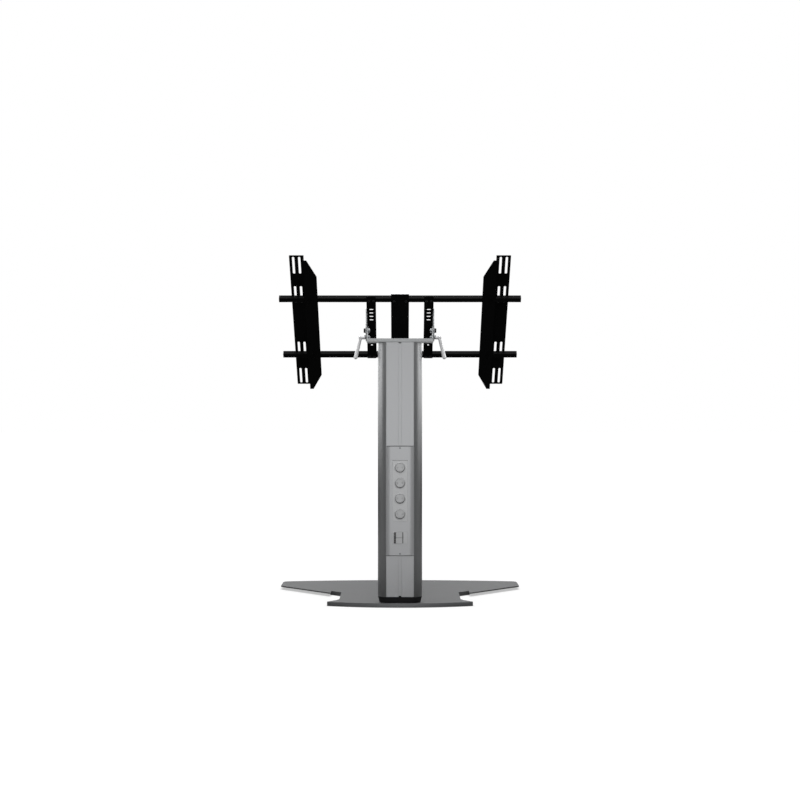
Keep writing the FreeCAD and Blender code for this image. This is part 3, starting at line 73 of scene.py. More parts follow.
# Points round a shade cord, a weld, a lever's bar, a hub or knurled head and a socket's shade
# crescent.
CORD_POINTS, BEAD_POINTS, BAR_POINTS, CAST_POINTS, CRESCENT_POINTS = 12, 14, 40, 48, 64


def linear(hex_code: str) -> tuple[float, float, float, float]:
    """Turn an sRGB hex colour into linear RGBA.

    Args:
        hex_code: Six hex digits, with or without a leading hash.

    Returns:
        Linear red, green and blue with an alpha of one.
    """
    digits = hex_code.lstrip("#")
    levels = [int(digits[i:i + 2], 16) / 255 for i in (0, 2, 4)]
    rgb = [v / 12.92 if v <= 0.04045 else ((v + 0.055) / 1.055) ** 2.4 for v in levels]
    return rgb[0], rgb[1], rgb[2], 1.0


def add_node(
    tree: bpy.types.NodeTree,
    kind: str,
    inputs: dict[str | int, Any] | None = None,
    **settings: Any,
) -> bpy.types.Node:
    """Add a node with its settings, constants and links.

    Args:
        tree: Node tree that takes the node.
        kind: Blender's name of the node type.
        inputs: Socket name or number to a constant, or to an output socket to link from.
        settings: Attributes of the node.

    Returns:
        The new node.
    """
    node = tree.nodes.new(kind)
    for key, value in settings.items():
        setattr(node, key, value)
    for key, value in (inputs or {}).items():
        if isinstance(value, bpy.types.NodeSocket):
            tree.links.new(value, node.inputs[key])
        else:
            node.inputs[key].default_value = value
    return node


class Pattern(Enum):
    """How a finish's surface was made, which sets the way its grain runs."""

    EVEN = (1.0, 1.0, 1.0)
    DRAWN_Z = (1.0, 1.0, 0.004)


@dataclass(frozen=True)
class Finish:
    """One real material and the way its surface was made.

    Attributes:
        name: Material name.
        colour: Main sRGB colour.
        mottle: sRGB colour that the broad variation leans towards.
        roughness: Mean roughness.
        metallic: Metallic share.
        grain_mm: Size of the surface grain.
        relief_mm: Height of the grain.
        roughness_spread: How far the roughness strays from its mean.
        mottle_mm: Size of the broad colour variation.
        specular: Specular level of a coat or plastic.
        pattern: Way the grain runs.
        fleck: Share of brightness that single flakes or grains add.
    """

    name: str
    colour: str
    mottle: str
    roughness: float
    metallic: float
    grain_mm: float
    relief_mm: float
    roughness_spread: float = 0.06
    mottle_mm: float = 120.0
    specular: float = 0.5
    pattern: Pattern = Pattern.EVEN
    fleck: float = 0.0

    def material(self) -> bpy.types.Material:
        """Return the finish's material, made on first use."""
        made = bpy.data.materials.get(self.name)
        return made if made else self._build()

    def _build(self) -> bpy.types.Material:
        """Build the node tree.

        Returns:
            The new material.
        """
        material = bpy.data.materials.new(self.name)
        material.use_nodes = True
        tree = material.node_tree
        tree.nodes.clear()
        place = add_node(tree, "ShaderNodeTexCoord").outputs["Object"]
        per_metre = 1 / (self.grain_mm * MM)
        stretched = [share * per_metre for share in self.pattern.value]
        grain_place = add_node(
            tree, "ShaderNodeMapping", {"Vector": place, "Scale": stretched}
        ).outputs["Vector"]
        grain = add_node(
            tree, "ShaderNodeTexNoise",
            {"Vector": grain_place, "Scale": 1.0, "Detail": 3.0, "Roughness": 0.55},
        ).outputs["Fac"]
        broad = add_node(
            tree, "ShaderNodeTexNoise",
            {"Vector": place, "Scale": 1 / (self.mottle_mm * MM), "Detail": 4.0, "Roughness": 0.6},
        ).outputs["Fac"]
        tint = add_node(
            tree, "ShaderNodeMix",
            {0: broad, 6: linear(self.colour), 7: linear(self.mottle)},
            data_type="RGBA",
        ).outputs[2]
        if self.fleck:
            tint = self._flecked(tree, tint, grain)
        rough = add_node(
            tree, "ShaderNodeMapRange",
            {
                "Value": grain, "From Min": GRAIN_BAND[0], "From Max": GRAIN_BAND[1],
                "To Min": self.roughness - self.roughness_spread,
                "To Max": self.roughness + self.roughness_spread,
            },
        ).outputs["Result"]
        bump = add_node(
            tree, "ShaderNodeBump",
            {"Height": grain, "Strength": 1.0, "Distance": self.relief_mm * MM},
        ).outputs["Normal"]
        shader = add_node(
            tree, "ShaderNodeBsdfPrincipled",
            {
                "Base Color": tint, "Roughness": rough, "Normal": bump,
                "Metallic": self.metallic, "Specular IOR Level": self.specular,
            },
        ).outputs["BSDF"]
        add_node(tree, "ShaderNodeOutputMaterial", {"Surface": shader})
        return material

    def _flecked(
        self, tree: bpy.types.NodeTree, tint: bpy.types.NodeSocket, grain: bpy.types.NodeSocket
    ) -> bpy.types.NodeSocket:
        """Lighten and darken single flakes of the colour.

        Args:
            tree: Node tree of the material.
            tint: Colour to vary.
            grain: Grain that says how bright each flake is.

        Returns:
            The varied colour.
        """
        gain = add_node(
            tree, "ShaderNodeMapRange",
            {
                "Value": grain, "From Min": GRAIN_BAND[0], "From Max": GRAIN_BAND[1],
                "To Min": 1 - self.fleck, "To Max": 1 + self.fleck,
            },
        ).outputs["Result"]
        return add_node(
            tree, "ShaderNodeVectorMath", {0: tint, "Scale": gain}, operation="SCALE"
        ).outputs["Vector"]


# Clear-anodised covers: satin silver with faint lines along the die's direction.
ANODISED = Finish(
    "anodised_aluminium", "#B0B1B2", "#B4B5B6", 0.36, 0.9, 1.6, 0.004, pattern=Pattern.DRAWN_Z
)
# The column's extrusion: a darker copy of the covers' anodised aluminium, which paints the shade on
# the column's rounded sides.
SHADED_ANODISED = Finish(
    "anodised_aluminium_painted_shade", "#8C8D8E", "#909192", 0.34, 0.97, 1.6, 0.004, pattern=Pattern.DRAWN_Z
)
# Silver lacquer sprayed on sheet steel: flat sheen, fine flake and a trace of orange peel.
BASE_LACQUER = Finish(
    "silver_lacquered_steel", "#5C5D5E", "#626364", 0.52, 0.2, 1.4, 0.010, fleck=0.05, specular=0.1
)
# Bright silver lacquer on the folded yoke.
YOKE_LACQUER = Finish(
    "bright_lacquered_steel", "#B4B6B7", "#BBBDBE", 0.38, 0.6, 1.2, 0.008, fleck=0.05
)
# Black powder coat: fine leathery grain that kills reflections.
POWDER_COAT = Finish(
    "black_powder_coat", "#070707", "#090909", 0.62, 0.0, 0.9, 0.05, specular=0.04, fleck=0.15
)
# Zinc-plated turned steel of the fasteners: small cool glints.
ZINC = Finish("zinc_plated_steel", "#9A9C9E", "#8E9092", 0.30, 1.0, 0.7, 0.004)
# Blackened steel of the bolts and frame screws: a dark satin that sinks into the frame.
BLACK_OXIDE = Finish("blackened_steel", "#121213", "#18181A", 0.42, 0.0, 0.7, 0.004, specular=0.25)
# Die-cast zinc lever, satin chromed: a pale sheen that stands out from the black frame.
CAST_LEVER = Finish("satin_chromed_casting", "#F2F2F3", "#EEEEEF", 0.34, 0.4, 1.0, 0.006)
# Moulded ABS of the sockets and data outlets, lacquered silver to match the panel.
SOCKET_ABS = Finish("silver_lacquered_abs", "#C6C7C8", "#C9CACB", 0.38, 0.9, 0.5, 0.004, fleck=0.03)
# Dark grey plastic of the frames round the data ports, with a soft sheen: its dark colour paints
# the shade in the ports' troughs.
PORT_SHADE_ABS = Finish("dark_abs_painted_port_shade", "#5A5B5C", "#5E5F60", 0.5, 0.0, 0.5, 0.006, specular=0.2)
# Polypropylene of the foot and caps: a quiet black with a moulded grain.
BLACK_PP = Finish(
    "black_moulded_polypropylene", "#121213", "#161617", 0.55, 0.0, 0.6, 0.01, specular=0.2
)
# Moulded rubber of the pads: black without a sheen. The same black paints the shade crescents in
# the sockets and the shadow lines along the socket plate and the outlets.
RUBBER_AND_SHADE = Finish("black_rubber_and_painted_shade", "#141414", "#191919", 0.8, 0.0, 0.8, 0.02, specular=0.2)
# Drawn brass of the contacts: a warm glint inside the outlets.
BRASS = Finish("drawn_brass", "#B8954F", "#A98645", 0.3, 1.0, 0.8, 0.004)


class RingShape(Enum):
    """Outline of one ring of a turned piece."""

    ROUND = "round"
    HEXAGON = "hexagon"
    KNURLED = "knurled"


@dataclass(frozen=True)
class Ring:
    """One ring of a turned piece.

    Attributes:
        height: Place along the axis in millimetres.
        radius: Radius in millimetres, or half the width across a hexagon's flats.
        shape: Outline of the ring.
        shift: Millimetres from the axis to the ring's middle, against the drawing's Y axis.
    """

    height: float
    radius: float
    shape: RingShape = RingShape.ROUND
    shift: float = 0.0

    def reach(self, angle: float, index: int) -> float:
        """Return the ring's radius at an angle, in millimetres.

        Args:
            angle: Angle round the axis.
            index: Number of the point round the ring.

        Returns:
            Distance from the axis.
        """
        if self.shape is RingShape.HEXAGON:
            sixth = math.pi / 3
            return self.radius / math.cos((angle + sixth / 2) % sixth - sixth / 2)
        if self.shape is RingShape.KNURLED and index % 2:
            return self.radius * KNURL_SHARE
        return self.radius


class Piece:
    """Mesh of a piece that is drawn here, in the row frame."""

    def __init__(self, name: str) -> None:
        """Start an empty piece.

        Args:
            name: Piece's name.
        """
        self.name = name
        self.form = bmesh.new()

    def turn(
        self, rings: Sequence[Ring], place: Matrix, points: int = 36, loop: bool = False
    ) -> None:
        """Add a turned solid.

        Args:
            rings: Rings from one end to the other.
            place: Matrix from the solid's own axis, along Z in millimetres, to the row frame.
            points: Points round each ring.
            loop: Join the last ring to the first one instead of closing both ends.
        """
        circles = []
        for ring in rings:
            circle = []
            for i in range(points):
                angle = 2 * math.pi * i / points
                reach = ring.reach(angle, i)
                x, y = reach * math.cos(angle), reach * math.sin(angle) - ring.shift
                circle.append(self.form.verts.new(place @ Vector((x, y, ring.height))))
            circles.append(circle)
        self._skin(circles, loop)
        if not loop:
            self.form.faces.new(list(reversed(circles[0])))
            self.form.faces.new(circles[-1])

    def block(self, size: Sequence[float], place: Matrix) -> None:
        """Add a box of a size in millimetres about the place's origin."""
        made = bmesh.ops.create_cube(self.form, size=1.0)["verts"]
        bmesh.ops.transform(self.form, matrix=place @ Matrix.Diagonal((*size, 1.0)), verts=made)

    def _skin(self, circles: list[list[bmesh.types.BMVert]], loop: bool) -> None:
        """Join each ring of points to the next one.

        Args:
            circles: Rings of points.
            loop: Whether the last ring is joined to the first one.
        """
        for near, far in zip(circles, circles[1:] + circles[:1] if loop else circles[1:]):
            for i in range(len(near)):
                j = (i + 1) % len(near)
                self.form.faces.new((near[i], near[j], far[j], far[i]))

    def frame(
        self, outer: Sequence[float], inner: Sequence[float], depth: float, place: Matrix
    ) -> None:
        """Add a flat frame round a window.

        Args:
            outer: Left, right, bottom and top of the frame in millimetres.
            inner: Left, right, bottom and top of its window.
            depth: Thickness along the drawing's Y axis.
            place: Matrix from the drawing to the row frame.
        """
        loops = []
        for sides, level in ((outer, 0.0), (outer, depth), (inner, depth), (inner, 0.0)):
            left, right, low, high = sides
            corners = ((left, low), (right, low), (right, high), (left, high))
            loops.append([self.form.verts.new(place @ Vector((x, level, z))) for x, z in corners])
        self._skin(loops, loop=True)

    def finish(
        self, finish: Finish, body: str, slot: str, stands_for: Sequence[str] = ()
    ) -> bpy.types.Object:
        """Make the object and hang it on its body.

        Args:
            finish: Finish to give it.
            body: Body that it moves with.
            slot: Material slot of the record; not used.
            stands_for: Nodes that it is shown in place of.

        Returns:
            The new object.
        """
        bmesh.ops.recalc_face_normals(self.form, faces=self.form.faces)
        mesh = bpy.data.meshes.new(self.name)
        self.form.to_mesh(mesh)
        self.form.free()
        mesh.shade_smooth()
        mesh.set_sharp_from_angle(angle=math.radians(SHARP_DEGREES))
        mesh.materials.append(finish.material())
        piece = bpy.data.objects.new(self.name, mesh)
        bpy.context.scene.collection.objects.link(piece)
        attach(piece, body)
        if stands_for:
            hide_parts(*stands_for)
        LOG.info("drew %s", self.name)
        return piece


def joint_place(name: str) -> Vector:
    """Return the place of a joint of the frame, in metres."""
    joint = next(joint for joint in frame["joints"] if joint["name"] == name)
    return Vector(joint["pos_m"])


def head_matrix() -> Matrix:
    """Return the matrix that puts the frame, drawn upright in mm about the pivot, at rest."""
    tilt = Matrix.Rotation(math.radians(REST_TILT_DEGREES), 4, "X")
    return Matrix.Translation(joint_place("head_tilt")) @ tilt @ TO_METRES


def box_mm(node: str) -> tuple[Vector, Vector]:
    """Return a node's lowest and highest corner in millimetres."""
    low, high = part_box(node)
    return low / MM, high / MM


def centre(low: Vector, high: Vector) -> Vector:
    """Return the middle of a box."""
    return (low + high) / 2


def solids_of(node: str, drawing: Matrix) -> list[tuple[Vector, Vector]]:
    """Return the box of each separate solid of a node.

    Args:
        node: Node's name.
        drawing: Matrix from the drawing that the boxes are wanted in to the row frame.

    Returns:
        Lowest and highest corner of each solid, in the drawing's units.
    """
    form = bmesh.new()
    form.from_mesh(frame["nodes"][node].data)
    bmesh.ops.remove_doubles(form, verts=form.verts, dist=MERGE_MM * MM)
    bmesh.ops.transform(form, matrix=drawing.inverted(), verts=form.verts)
    left = set(form.verts)
    boxes = []
    while left:
        todo = [left.pop()]
        reached = list(todo)
        while todo:
            for edge in todo.pop().link_edges:
                for vert in edge.verts:
                    if vert in left:
                        left.remove(vert)
                        todo.append(vert)
                        reached.append(vert)
        low = Vector([min(vert.co[i] for vert in reached) for i in range(3)])
        high = Vector([max(vert.co[i] for vert in reached) for i in range(3)])
        boxes.append((low, high))
    form.free()
    return boxes


@dataclass
class Edges:
    """Softened edges of a carried-over solid.

    Attributes:
        width_mm: Width of the softened edge.
        segments: Faces across it.
    """

    width_mm: float = 0.5
    segments: int = 2


class SubAssembly:
    """A group of the stand's pieces that are dressed together."""

    def dress(self, name: str, finish: Finish, edges: Edges | None = None) -> bpy.types.Object:
        """Give a carried-over solid its finish and softened edges.

        Args:
            name: Node's name.
            finish: Finish to give it.
            edges: Softened edges, or None to leave them as they are.

        Returns:
            The node's object.
        """
        piece = frame["nodes"][name]
        piece.data.materials.clear()
        piece.data.materials.append(finish.material())
        if edges:
            weld = piece.modifiers.new("weld", "WELD")
            weld.merge_threshold = MERGE_MM * MM
            flat = piece.modifiers.new("flat_faces", "DECIMATE")
            flat.decimate_type = "DISSOLVE"
            flat.angle_limit = math.radians(FLAT_DEGREES)
            bevel = piece.modifiers.new("soft_edges", "BEVEL")
            bevel.width = edges.width_mm * MM
            bevel.segments = edges.segments
            bevel.limit_method = "ANGLE"
            bevel.angle_limit = math.radians(SOFT_EDGE_DEGREES)
            bevel.use_clamp_overlap = True
            bevel.harden_normals = True
        LOG.info("dressed %s with %s", name, finish.name)
        return piece


class Base(SubAssembly):
    """Bowed sheet-steel base with its pads and backing plate."""

    def build(self) -> None:
        """Dress the base."""
        self.dress("base_plate", BASE_LACQUER, Edges(0.6))
        self.dress("base_pads", RUBBER_AND_SHADE)
        self.dress("backing_plate", ZINC)
        self.dress("column_bolts", ZINC)


class Column(SubAssembly):
    """Aluminium column with its clip-on covers and moulded foot."""

    def build(self) -> None:
        """Dress the column."""
        # The profile takes the darker copy of the anodised finish: painted shade on its sides.
        self.dress("column_profile", SHADED_ANODISED)
        for name in ("front_cover", "rear_cover_upper", "rear_cover_lower"):
            self.dress(name, ANODISED)
        self.dress("column_foot", BLACK_PP, Edges(0.8))


@dataclass
class PowerPanel(SubAssembly):
    """Crowned panel with four sockets and two data outlets; sizes in millimetres.

    Attributes:
        port_floor: Depth of the middle of the wires below the outlets' front.
        wire_inset: Distance of the wires from the outlets' deep side.
        wire_count: Wires in each port.
        wire_pitch: Distance between the wires.
        wire_width: Thickness of a wire.
        wire_length: Length of a wire.
        wire_slant: Lean of the wires in degrees.
        shutter_radius: Radius of the shutters in the sockets' holes.
        shutter_front: Distance of a shutter's face from the contact behind it.
        shutter_root: Distance of a shutter's back from the contact.
        shutter_dome: Drops from the face, each with its share of the radius.
        trough_floor: Depth of the outlets' trough below their front.
        trough_width: Width of the trough.
        frame_depth: Thickness of the dark frame in the trough, which paints the trough's shade.
        frame_edge: Width of the frame's sides beside the port.
        frame_end: Width of the frame's ends above and below the port.
        frame_gap: Gap between the frame and the trough's walls.
        shade_cord_radius: Radius of the dark cord along the socket plate's top, which paints the
            shadow line there.
        shade_cord_sink: Depth of a cord's axis below the panel's face, in radii.
        shade_cord_lift: Height of the top cord's axis above the socket plate, in radii.
        side_shade_cord_radius: Radius of the dark cord on the outlets, which paints the shadow line
            beside the ports.
        side_shade_cord_inset: Distance of that cord's axis from the outlets' side, in radii.
        well_radius: Radius of a socket's well.
        crescent_depth: Depth below the mouth of the dark ring in each socket, which paints the
            shade crescent.
        crescent_width: Width of the ring along the well's axis.
        crescent_mean: Mean thickness of the ring.
        crescent_bite: How far the ring reaches into the well's wall.
        crescent_rounding: Size of the ring's softened edges.
        crescent_lift: How far the ring's opening lies above the well's middle, which makes the
            painted shade thickest at the bottom.
    """

    port_floor: float = 15.5
    wire_inset: float = 4.6
    wire_count: int = 8
    wire_pitch: float = 1.02
    wire_width: float = 0.45
    wire_length: float = 7.5
    wire_slant: float = 25.0
    shutter_radius: float = 2.65
    shutter_front: float = 2.3
    shutter_root: float = 0.5
    shutter_dome: tuple[tuple[float, float], ...] = ((0.5, 1.0), (0.15, 0.85), (0.0, 0.5))
    trough_floor: float = 10.0
    trough_width: float = 8.0
    frame_depth: float = 5.0
    frame_edge: float = 1.4
    frame_end: float = 4.6
    frame_gap: float = 0.15
    shade_cord_radius: float = 0.5
    shade_cord_sink: float = 0.6
    shade_cord_lift: float = 0.2
    side_shade_cord_radius: float = 1.1
    side_shade_cord_inset: float = 2.0
    well_radius: float = 18.8
    crescent_depth: float = 1.0
    crescent_width: float = 1.8
    crescent_mean: float = 1.0
    crescent_bite: float = 0.1
    crescent_rounding: float = 0.3
    crescent_lift: float = 0.85

    def build(self) -> None:
        """Dress the panel and draw its small parts."""
        self.dress("socket_panel", ANODISED)
        self.dress("socket_fascia", SOCKET_ABS)
        self.dress("data_frame", SOCKET_ABS)
        for name in SOCKETS:
            self.dress(name, SOCKET_ABS)
        for name in DATA_JACKS:
            self.dress(name, SOCKET_ABS, Edges(0.3))
        for name in ("panel_screws", "panel_brackets", "earth_clips"):
            self.dress(name, ZINC)
        self.dress("socket_contacts", BRASS)
        self._port_contacts()
        self._port_shade_frames()
        self._shutters()
        self._screws()
        self._shade_cords()
        self._shade_crescents()

    def _shade_crescents(self) -> None:
        """Draw a dark ring inside each socket's mouth, thickest at the bottom, which paints the
        shade crescent there.
        """
        crescents = Piece("socket_shade_crescents")
        wall = self.well_radius + self.crescent_bite
        back, front = -self.crescent_depth - self.crescent_width, -self.crescent_depth
        opening, lift, soft = self.well_radius - self.crescent_mean, self.crescent_lift, self.crescent_rounding
        rings = [
            Ring(back, wall), Ring(front - soft, wall), Ring(front, wall - soft),
            Ring(front, opening + soft, shift=lift), Ring(front - soft, opening, shift=lift),
            Ring(back, opening, shift=lift),
        ]
        for name in SOCKETS:
            low, high = box_mm(name)
            place = towards_rear(centre(low, high), high.y)
            crescents.turn(rings, TO_METRES @ place, points=CRESCENT_POINTS, loop=True)
        crescents.finish(RUBBER_AND_SHADE, "stand", "pad_rubber")

    def _shade_cords(self) -> None:
        """Draw dark cords along the socket plate's top edge and on the data outlets, which paint
        their shadow lines.
        """
        shade_cords = Piece("panel_shade_cords")
        low, high = box_mm("socket_fascia")
        radius = self.shade_cord_radius
        axis = (low.x, high.y - self.shade_cord_sink * radius, high.z + self.shade_cord_lift * radius)
        along = Matrix.Translation(axis) @ Matrix.Rotation(math.radians(90), 4, "Y")
        shade_cords.turn(self._cord(high.x - low.x, radius), TO_METRES @ along, points=CORD_POINTS)
        low, high = box_mm("data_jack_lower")[0], box_mm("data_jack_upper")[1]
        radius = self.side_shade_cord_radius
        axis = (low.x + self.side_shade_cord_inset * radius, high.y - self.shade_cord_sink * radius, low.z)
        upright = Matrix.Translation(axis)
        shade_cords.turn(self._cord(high.z - low.z, radius), TO_METRES @ upright, points=CORD_POINTS)
        shade_cords.finish(RUBBER_AND_SHADE, "stand", "pad_rubber")

    @staticmethod
    def _cord(length: float, radius: float) -> list[Ring]:
        """Return the rings of a straight round cord with softened ends.

        Args:
            length: Length of the cord.
            radius: Its radius.

        Returns:
            Rings along the axis.
        """
        return [
            Ring(0.0, radius / 2), Ring(radius, radius),
            Ring(length - radius, radius), Ring(length, radius / 2),
        ]

    def _shutters(self) -> None:
        """Draw the domed safety shutters that close the sockets' holes."""
        shutters = Piece("socket_shutters")
        rings = [Ring(self.shutter_root, self.shutter_radius)]
        for drop, share in self.shutter_dome:
            rings.append(Ring(self.shutter_front - drop, share * self.shutter_radius))
        for low, high in solids_of("socket_contacts", TO_METRES):
            shutters.turn(rings, TO_METRES @ towards_rear(centre(low, high), high.y))
        shutters.finish(SOCKET_ABS, "stand", "grey_plastic")

    def _screws(self) -> None:
        """Draw the countersunk screws at the panel's top and bottom."""
        screws = Piece("panel_countersunk_screws")
        for low, high in solids_of("panel_screws", TO_METRES):
            place = towards_rear(centre(low, high), high.y)
            screws.turn(PANEL_SCREW.rings(high.y - low.y), TO_METRES @ place)
        screws.finish(ZINC, "stand", "zinc_steel", ["panel_screws"])

    def _port_shade_frames(self) -> None:
        """Draw the dark frame round each outlet's port, which paints the shade in its trough."""
        frames = Piece("data_port_shade_frames")
        gap, edge, end = self.frame_gap, self.frame_edge, self.frame_end
        for name in DATA_JACKS:
            low, high = box_mm(name)
            outer = (high.x - self.trough_width + gap, high.x - gap, low.z + gap, high.z - gap)
            inner = (outer[0] + edge, outer[1] - edge, outer[2] + end, outer[3] - end)
            floor = Matrix.Translation((0.0, high.y - self.trough_floor, 0.0))
            frames.frame(outer, inner, self.frame_depth, TO_METRES @ floor)
        frames.finish(PORT_SHADE_ABS, "stand", "grey_plastic")

    def _port_contacts(self) -> None:
        """Draw the eight sprung wires in each data port."""
        wires = Piece("data_port_wires")
        size = (self.wire_width, self.wire_length, self.wire_width)
        slant = Matrix.Rotation(math.radians(self.wire_slant), 4, "Z")
        for name in DATA_JACKS:
            low, high = box_mm(name)
            for i in range(self.wire_count):
                z = centre(low, high).z + (i - (self.wire_count - 1) / 2) * self.wire_pitch
                spot = Matrix.Translation((high.x - self.wire_inset, high.y - self.port_floor, z))
                wires.block(size, TO_METRES @ spot @ slant)
        wires.finish(BRASS, "stand", "contact_brass")


class Yoke(SubAssembly):
    """Folded yoke with the tilt pivots."""

    def build(self) -> None:
        """Dress the yoke and draw its screws, bolts and nuts."""
        self.dress("yoke", YOKE_LACQUER, Edges(0.5))
        for name in ("yoke_screws", "pivot_nuts", "lever_nuts"):
            self.dress(name, ZINC)
        self.dress("pivot_bolts", BLACK_OXIDE)
        self.dress("pivot_washers", BLACK_OXIDE, Edges(0.3))
        self.dress("friction_discs", BLACK_PP)
        self._screws()
        self._pivots()

    def _screws(self) -> None:
        """Draw the socket screws that hold the yoke on the column."""
        screws = Piece("yoke_socket_screws")
        for low, high in solids_of("yoke_screws", TO_METRES):
            middle, seat = centre(low, high), high.z - YOKE_SCREW.head_height
            place = Matrix.Translation((middle.x, middle.y, seat))
            screws.turn(YOKE_SCREW.rings(seat - low.z), TO_METRES @ place)
        screws.finish(ZINC, "stand", "zinc_steel", ["yoke_screws"])

    def _pivots(self) -> None:
        """Draw the pivots' hexagon bolts and the hexagon nuts inside the ears."""
        bolts = Piece("pivot_hexagon_bolts")
        for low, high in solids_of("pivot_bolts", TO_METRES):
            outer = high.x if high.x > 0 else low.x
            seat = outer - math.copysign(PIVOT_BOLT.height, outer)
            length = high.x - low.x - PIVOT_BOLT.height
            place = sideways(centre(low, high), seat)
            bolts.turn(PIVOT_BOLT.bolt(length), TO_METRES @ place)
        bolts.finish(BLACK_OXIDE, "stand", "black_powder", ["pivot_bolts"])
        for node, nut in (("pivot_nuts", PIVOT_NUT), ("lever_nuts", LEVER_NUT)):
            nuts = Piece(node.replace("nuts", "hexagon_nuts"))
            for low, high in solids_of(node, TO_METRES):
                place = sideways(centre(low, high), low.x if high.x > 0 else high.x)
                nuts.turn(nut.nut(), TO_METRES @ place, loop=True)
            nuts.finish(ZINC, "stand", "zinc_steel", [node])


@dataclass(frozen=True)
class SocketScrew:
    """Screw with a hexagon socket in its head; sizes in millimetres.

    Attributes:
        head_radius: Radius of the head.
        head_height: Height of the head.
        shank_radius: Radius of the shank.
        flats: Width of the socket across its flats.
        knurled: Whether the head is knurled for the fingers.
        sunk: Whether the head is countersunk, with its top at zero.
        waist: Height of the head's straight side, as a share of the head's.
        knurled_waist: The same of a knurled head.
        seat_share: Radius of the head's seat, as a share of the head's.
        seat_height: Height of the edge above the seat, as a share of the head's.
        crown_fall: Width of the domed crown, as a share of the head's radius.
        socket_floor: Height of the socket's floor, as a share of the head's.
        drill_drop: Further drop of the drilled middle, as a share of the head's height.
        sunk_floor: Depth of a countersunk head's socket, as a share of the head's height.
        sunk_drill: Depth of the drilled middle there, as a share of the head's height.
        sunk_rim: Height of the softened rims of a countersunk head.
        sunk_edge: Width that the head and its socket lose and gain at these rims.
    """

    head_radius: float
    head_height: float
    shank_radius: float
    flats: float
    knurled: bool = False
    sunk: bool = False
    waist: float = 0.45
    knurled_waist: float = 0.75
    seat_share: float = 0.96
    seat_height: float = 0.06
    crown_fall: float = 0.35
    socket_floor: float = 0.35
    drill_drop: float = 0.05
    sunk_floor: float = 0.75
    sunk_drill: float = 0.85
    sunk_rim: float = 0.15
    sunk_edge: float = 0.1

    def rings(self, length: float) -> list[Ring]:
        """Return the screw's rings, from the shank's end to the socket's floor.

        Args:
            length: Length of the shank, or of the whole screw if it is countersunk.

        Returns:
            Rings along the axis, with the head's seat at zero.
        """
        if self.sunk:
            return self._sunk_rings(length)
        side = RingShape.KNURLED if self.knurled else RingShape.ROUND
        radius, height = self.head_radius, self.head_height
        waist = self.knurled_waist if self.knurled else self.waist
        crown = []
        for lift in map(math.radians, (30, 60, 90)):
            rise = height * (waist + (1 - waist) * math.sin(lift))
            crown.append(Ring(rise, radius - self.crown_fall * radius * (1 - math.cos(lift))))
        return [
            Ring(-length, self.shank_radius),
            Ring(0.0, self.shank_radius),
            Ring(0.0, radius * self.seat_share),
            Ring(self.seat_height * height, radius, side),
            Ring(height * waist, radius, side),
            *crown,
            Ring(height, self.flats / 2, RingShape.HEXAGON),
            Ring(height * self.socket_floor, self.flats / 2, RingShape.HEXAGON),
            Ring(height * (self.socket_floor - self.drill_drop), self.flats / 4),
        ]

    def _sunk_rings(self, length: float) -> list[Ring]:
        """Return the rings of a countersunk screw.

        Args:
            length: Length of the whole screw.

        Returns:
            Rings from the shank's end to the socket's floor, with the head's top at zero.
        """
        height, rim, socket = self.head_height, self.sunk_rim, self.flats / 2
        edge = self.head_radius - self.sunk_edge
        return [
            Ring(-length, self.shank_radius),
            Ring(-height, self.shank_radius),
            Ring(-rim, edge),
            Ring(0.0, edge - rim),
            Ring(0.0, socket + self.sunk_edge, RingShape.HEXAGON),
            Ring(-rim, socket, RingShape.HEXAGON),
            Ring(-self.sunk_floor * height, socket, RingShape.HEXAGON),
            Ring(-self.sunk_drill * height, socket / 2),
        ]


@dataclass(frozen=True)
class HexFastener:
    """Chamfered hexagon bolt or nut; sizes in millimetres.

    Attributes:
        flats: Width across the flats.
        height: Height of the head or the nut.
        thread_radius: Radius over the thread.
        thread_pitch: Pitch of the thread.
        chamfer: Height of the chamfer on the hexagon's corners.
        end_share: Radius of the thread's end, as a share of the thread's.
        valley_share: Radius of the thread's valleys, as a share of the thread's.
        top_share: Width of the round top, as a share of the width across the flats.
        washer_share: Width of the washer face, as a share of the width across the flats.
        washer_height: Height of the washer face.
        bore_gap: Gap between a nut's bore and the thread.
    """

    flats: float
    height: float
    thread_radius: float
    thread_pitch: float
    chamfer: float = 1.0
    end_share: float = 0.8
    valley_share: float = 0.88
    top_share: float = 0.94
    washer_share: float = 0.95
    washer_height: float = 0.4
    bore_gap: float = 0.1

    def bolt(self, length: float) -> list[Ring]:
        """Return the rings of a bolt from its threaded end to its head.

        Args:
            length: Length of the shank, of which half is threaded.

        Returns:
            Rings along the axis, with the head's seat at zero.
        """
        half, washer = self.flats / 2, self.washer_share * self.flats / 2
        rings = [Ring(-length, self.end_share * self.thread_radius)]
        for i in range(1, 2 * int(length / 2 / self.thread_pitch)):
            depth = 1.0 if i % 2 else self.valley_share
            rings.append(Ring(-length + i * self.thread_pitch / 2, depth * self.thread_radius))
        return rings + [
            Ring(0.0, self.thread_radius),
            Ring(0.0, washer),
            Ring(self.washer_height, washer),
            Ring(self.washer_height, half, RingShape.HEXAGON),
            Ring(self.height - self.chamfer, half, RingShape.HEXAGON),
            Ring(self.height, self.top_share * half),
        ]

    def nut(self) -> list[Ring]:
        """Return the rings of a nut.

        Returns:
            Rings round the nut's section, to be joined into a loop.
        """
        half, top = self.flats / 2, self.top_share * self.flats / 2
        bore = self.thread_radius + self.bore_gap
        return [
            Ring(0.0, bore),
            Ring(0.0, top),
            Ring(self.chamfer, half, RingShape.HEXAGON),
            Ring(self.height - self.chamfer, half, RingShape.HEXAGON),
            Ring(self.height, top),
            Ring(self.height, bore),
        ]


